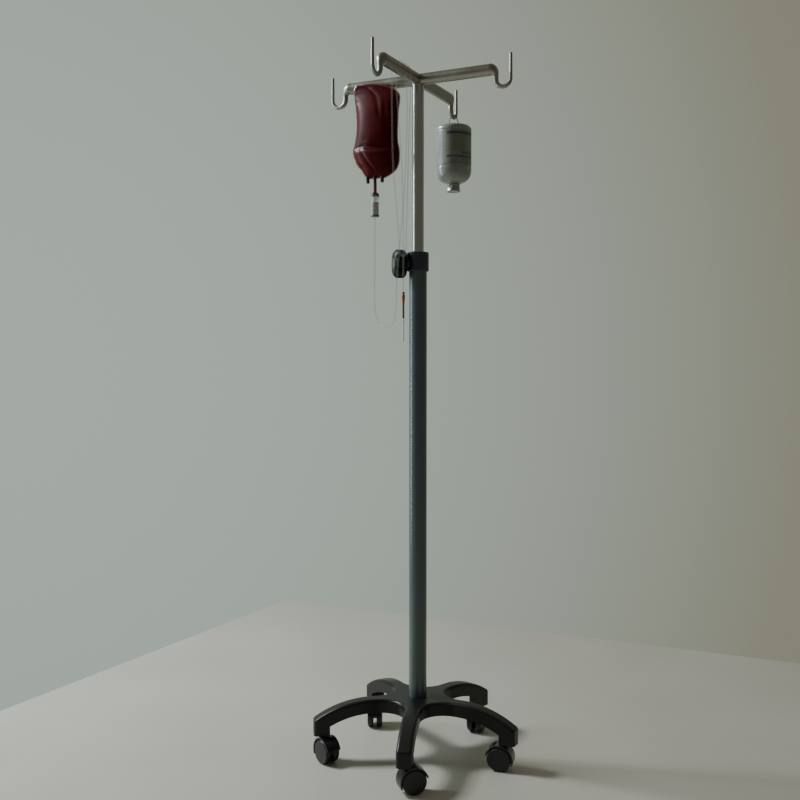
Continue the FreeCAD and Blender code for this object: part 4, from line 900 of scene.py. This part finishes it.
def weld_border(name):
    """A flat band round the bag's outline, a little wavy, that starts inside the pouch's edge."""
    rise = [row / BAG_ROWS for row in range(BAG_ROWS + 1)]
    outline = [(edges(up)[0], height_at(up)) for up in rise]
    outline += [(edges(up)[1], height_at(up)) for up in reversed(rise)]
    count = len(outline)
    mesh = bmesh.new()
    rings = []
    for k, (x, z) in enumerate(outline):
        before, after = outline[k - 3], outline[(k + 3) % count]
        run_x, run_z = after[0] - before[0], after[1] - before[1]
        size = math.hypot(run_x, run_z) or 1.0
        out_x, out_z = -run_z / size, run_x / size
        wave = 0.5 * MM * math.sin(k * 0.21) + 0.3 * MM * math.sin(k * 0.083 + 1)
        ring = []
        for reach, half, sway in ((-1.5 * MM, 0.2 * MM, 0.0), (WELD_WIDTH, WELD_THICK / 2, wave)):
            for sign in (1, -1):
                ring.append(mesh.verts.new((x + out_x * reach, BAG_PLANE + sign * half + sway,
                                            z + out_z * reach)))
        rings.append((ring[0], ring[2], ring[3], ring[1]))
    for first, second in zip(rings, rings[1:] + rings[:1]):
        bridge(mesh, first, second)
    return finished(name, mesh)


border = add("bag_weld_border", weld_border("bag_weld_border"), border_film, "bag_set")

# Three dark ports come out of the bag's foot, each with a flared cuff where it leaves the weld. The
# two outer cuffs sit 0.9 mm outwards of the axes of their ports.
port_vinyl = finish("port_vinyl", (0.035, 0.006, 0.006), 0.3, spread=0.2, mottle=80.0)
dress("bag_ports", port_vinyl)
ports_low, ports_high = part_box("bag_ports")
CUFF_INSET = 2.6 * MM
cuff_places = (ports_low[0] + CUFF_INSET, middle(ports_low, ports_high)[0], ports_high[0] - CUFF_INSET)
for letter, place_x, drop in zip("abc", cuff_places, (8.4, 9.6, 8.4)):
    cuff_foot = BAG_FOOT - drop * MM
    cuff_shape = [(2.7 * MM, cuff_foot), (3.5 * MM, cuff_foot + 0.4 * MM),
                  (3.6 * MM, cuff_foot + 2.2 * MM), (3.2 * MM, cuff_foot + 3.0 * MM),
                  (3.5 * MM, cuff_foot + 6.0 * MM), (4.6 * MM, BAG_FOOT + 1.2 * MM),
                  (3.6 * MM, BAG_FOOT + 3.4 * MM)]
    cuff_name = "port_cuff_" + letter
    cuff = add(cuff_name, lathed(cuff_name, cuff_shape, (place_x, BAG_PLANE), 32), port_vinyl, "bag_set")
dress("bag_strap", clear_vinyl)

# --- drip set -----------------------------------------------------------------------------------
# A red spike pushed into the bag's middle port, and under it the clear drip chamber with pink
# fluid in its lower part, closed by a grey cap at each end. The drop nozzle is in the air above.
dress("drip_spike", finish("red_plastic", (0.20, 0.022, 0.03), 0.25, spread=0.2, mottle=90.0))
clear_shell, shell_nodes, shell_links, shell = shader("chamber_vinyl", (0.86, 0.88, 0.86), 0.08)
tune(clear_shell, {"Alpha": 0.28, "Coat Weight": 0.9})
vary_roughness(shell_nodes, shell_links, shell, noise(shell_nodes, shell_links, 90.0), 0.05, 0.15)
dress("drip_chamber", clear_shell)
dress("chamber_fluid", finish("pink_fluid", (0.105, 0.052, 0.046), 0.2, spread=0.12, mottle=60.0))
chamber_low, chamber_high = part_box("drip_chamber")
CHAMBER_RADIUS = (chamber_high[0] - chamber_low[0]) / 2
CHAMBER_CENTRE = middle(chamber_low, chamber_high)
cap_grey = finish("chamber_cap_plastic", (0.13, 0.13, 0.12), 0.3, spread=0.1, mottle=60.0)
for name, foot, rise in (("chamber_head_cap", chamber_high[2] - 4.2 * MM, 4.4 * MM),
                         ("chamber_foot_cap", chamber_low[2] + 2.6 * MM, 3.6 * MM)):
    ring_profile = [(CHAMBER_RADIUS - 0.2 * MM, foot), (CHAMBER_RADIUS + 0.5 * MM, foot + 0.3 * MM),
                    (CHAMBER_RADIUS + 0.7 * MM, foot + 1.0 * MM),
                    (CHAMBER_RADIUS + 0.7 * MM, foot + rise - 0.8 * MM),
                    (CHAMBER_RADIUS + 0.2 * MM, foot + rise), (CHAMBER_RADIUS - 0.6 * MM, foot + rise)]
    ring = add(name, lathed(name, ring_profile, CHAMBER_CENTRE, 48), cap_grey, "bag_set")
nozzle_head = chamber_high[2] - 4.0 * MM
nozzle_foot = nozzle_head - 9.0 * MM
nozzle_profile = [(0.5 * MM, nozzle_foot), (0.9 * MM, nozzle_foot + 0.3 * MM),
                  (1.1 * MM, nozzle_head - 1.0 * MM), (1.6 * MM, nozzle_head)]
nozzle = add("drop_nozzle", lathed("drop_nozzle", nozzle_profile, CHAMBER_CENTRE, 20), cap_grey, "bag_set")
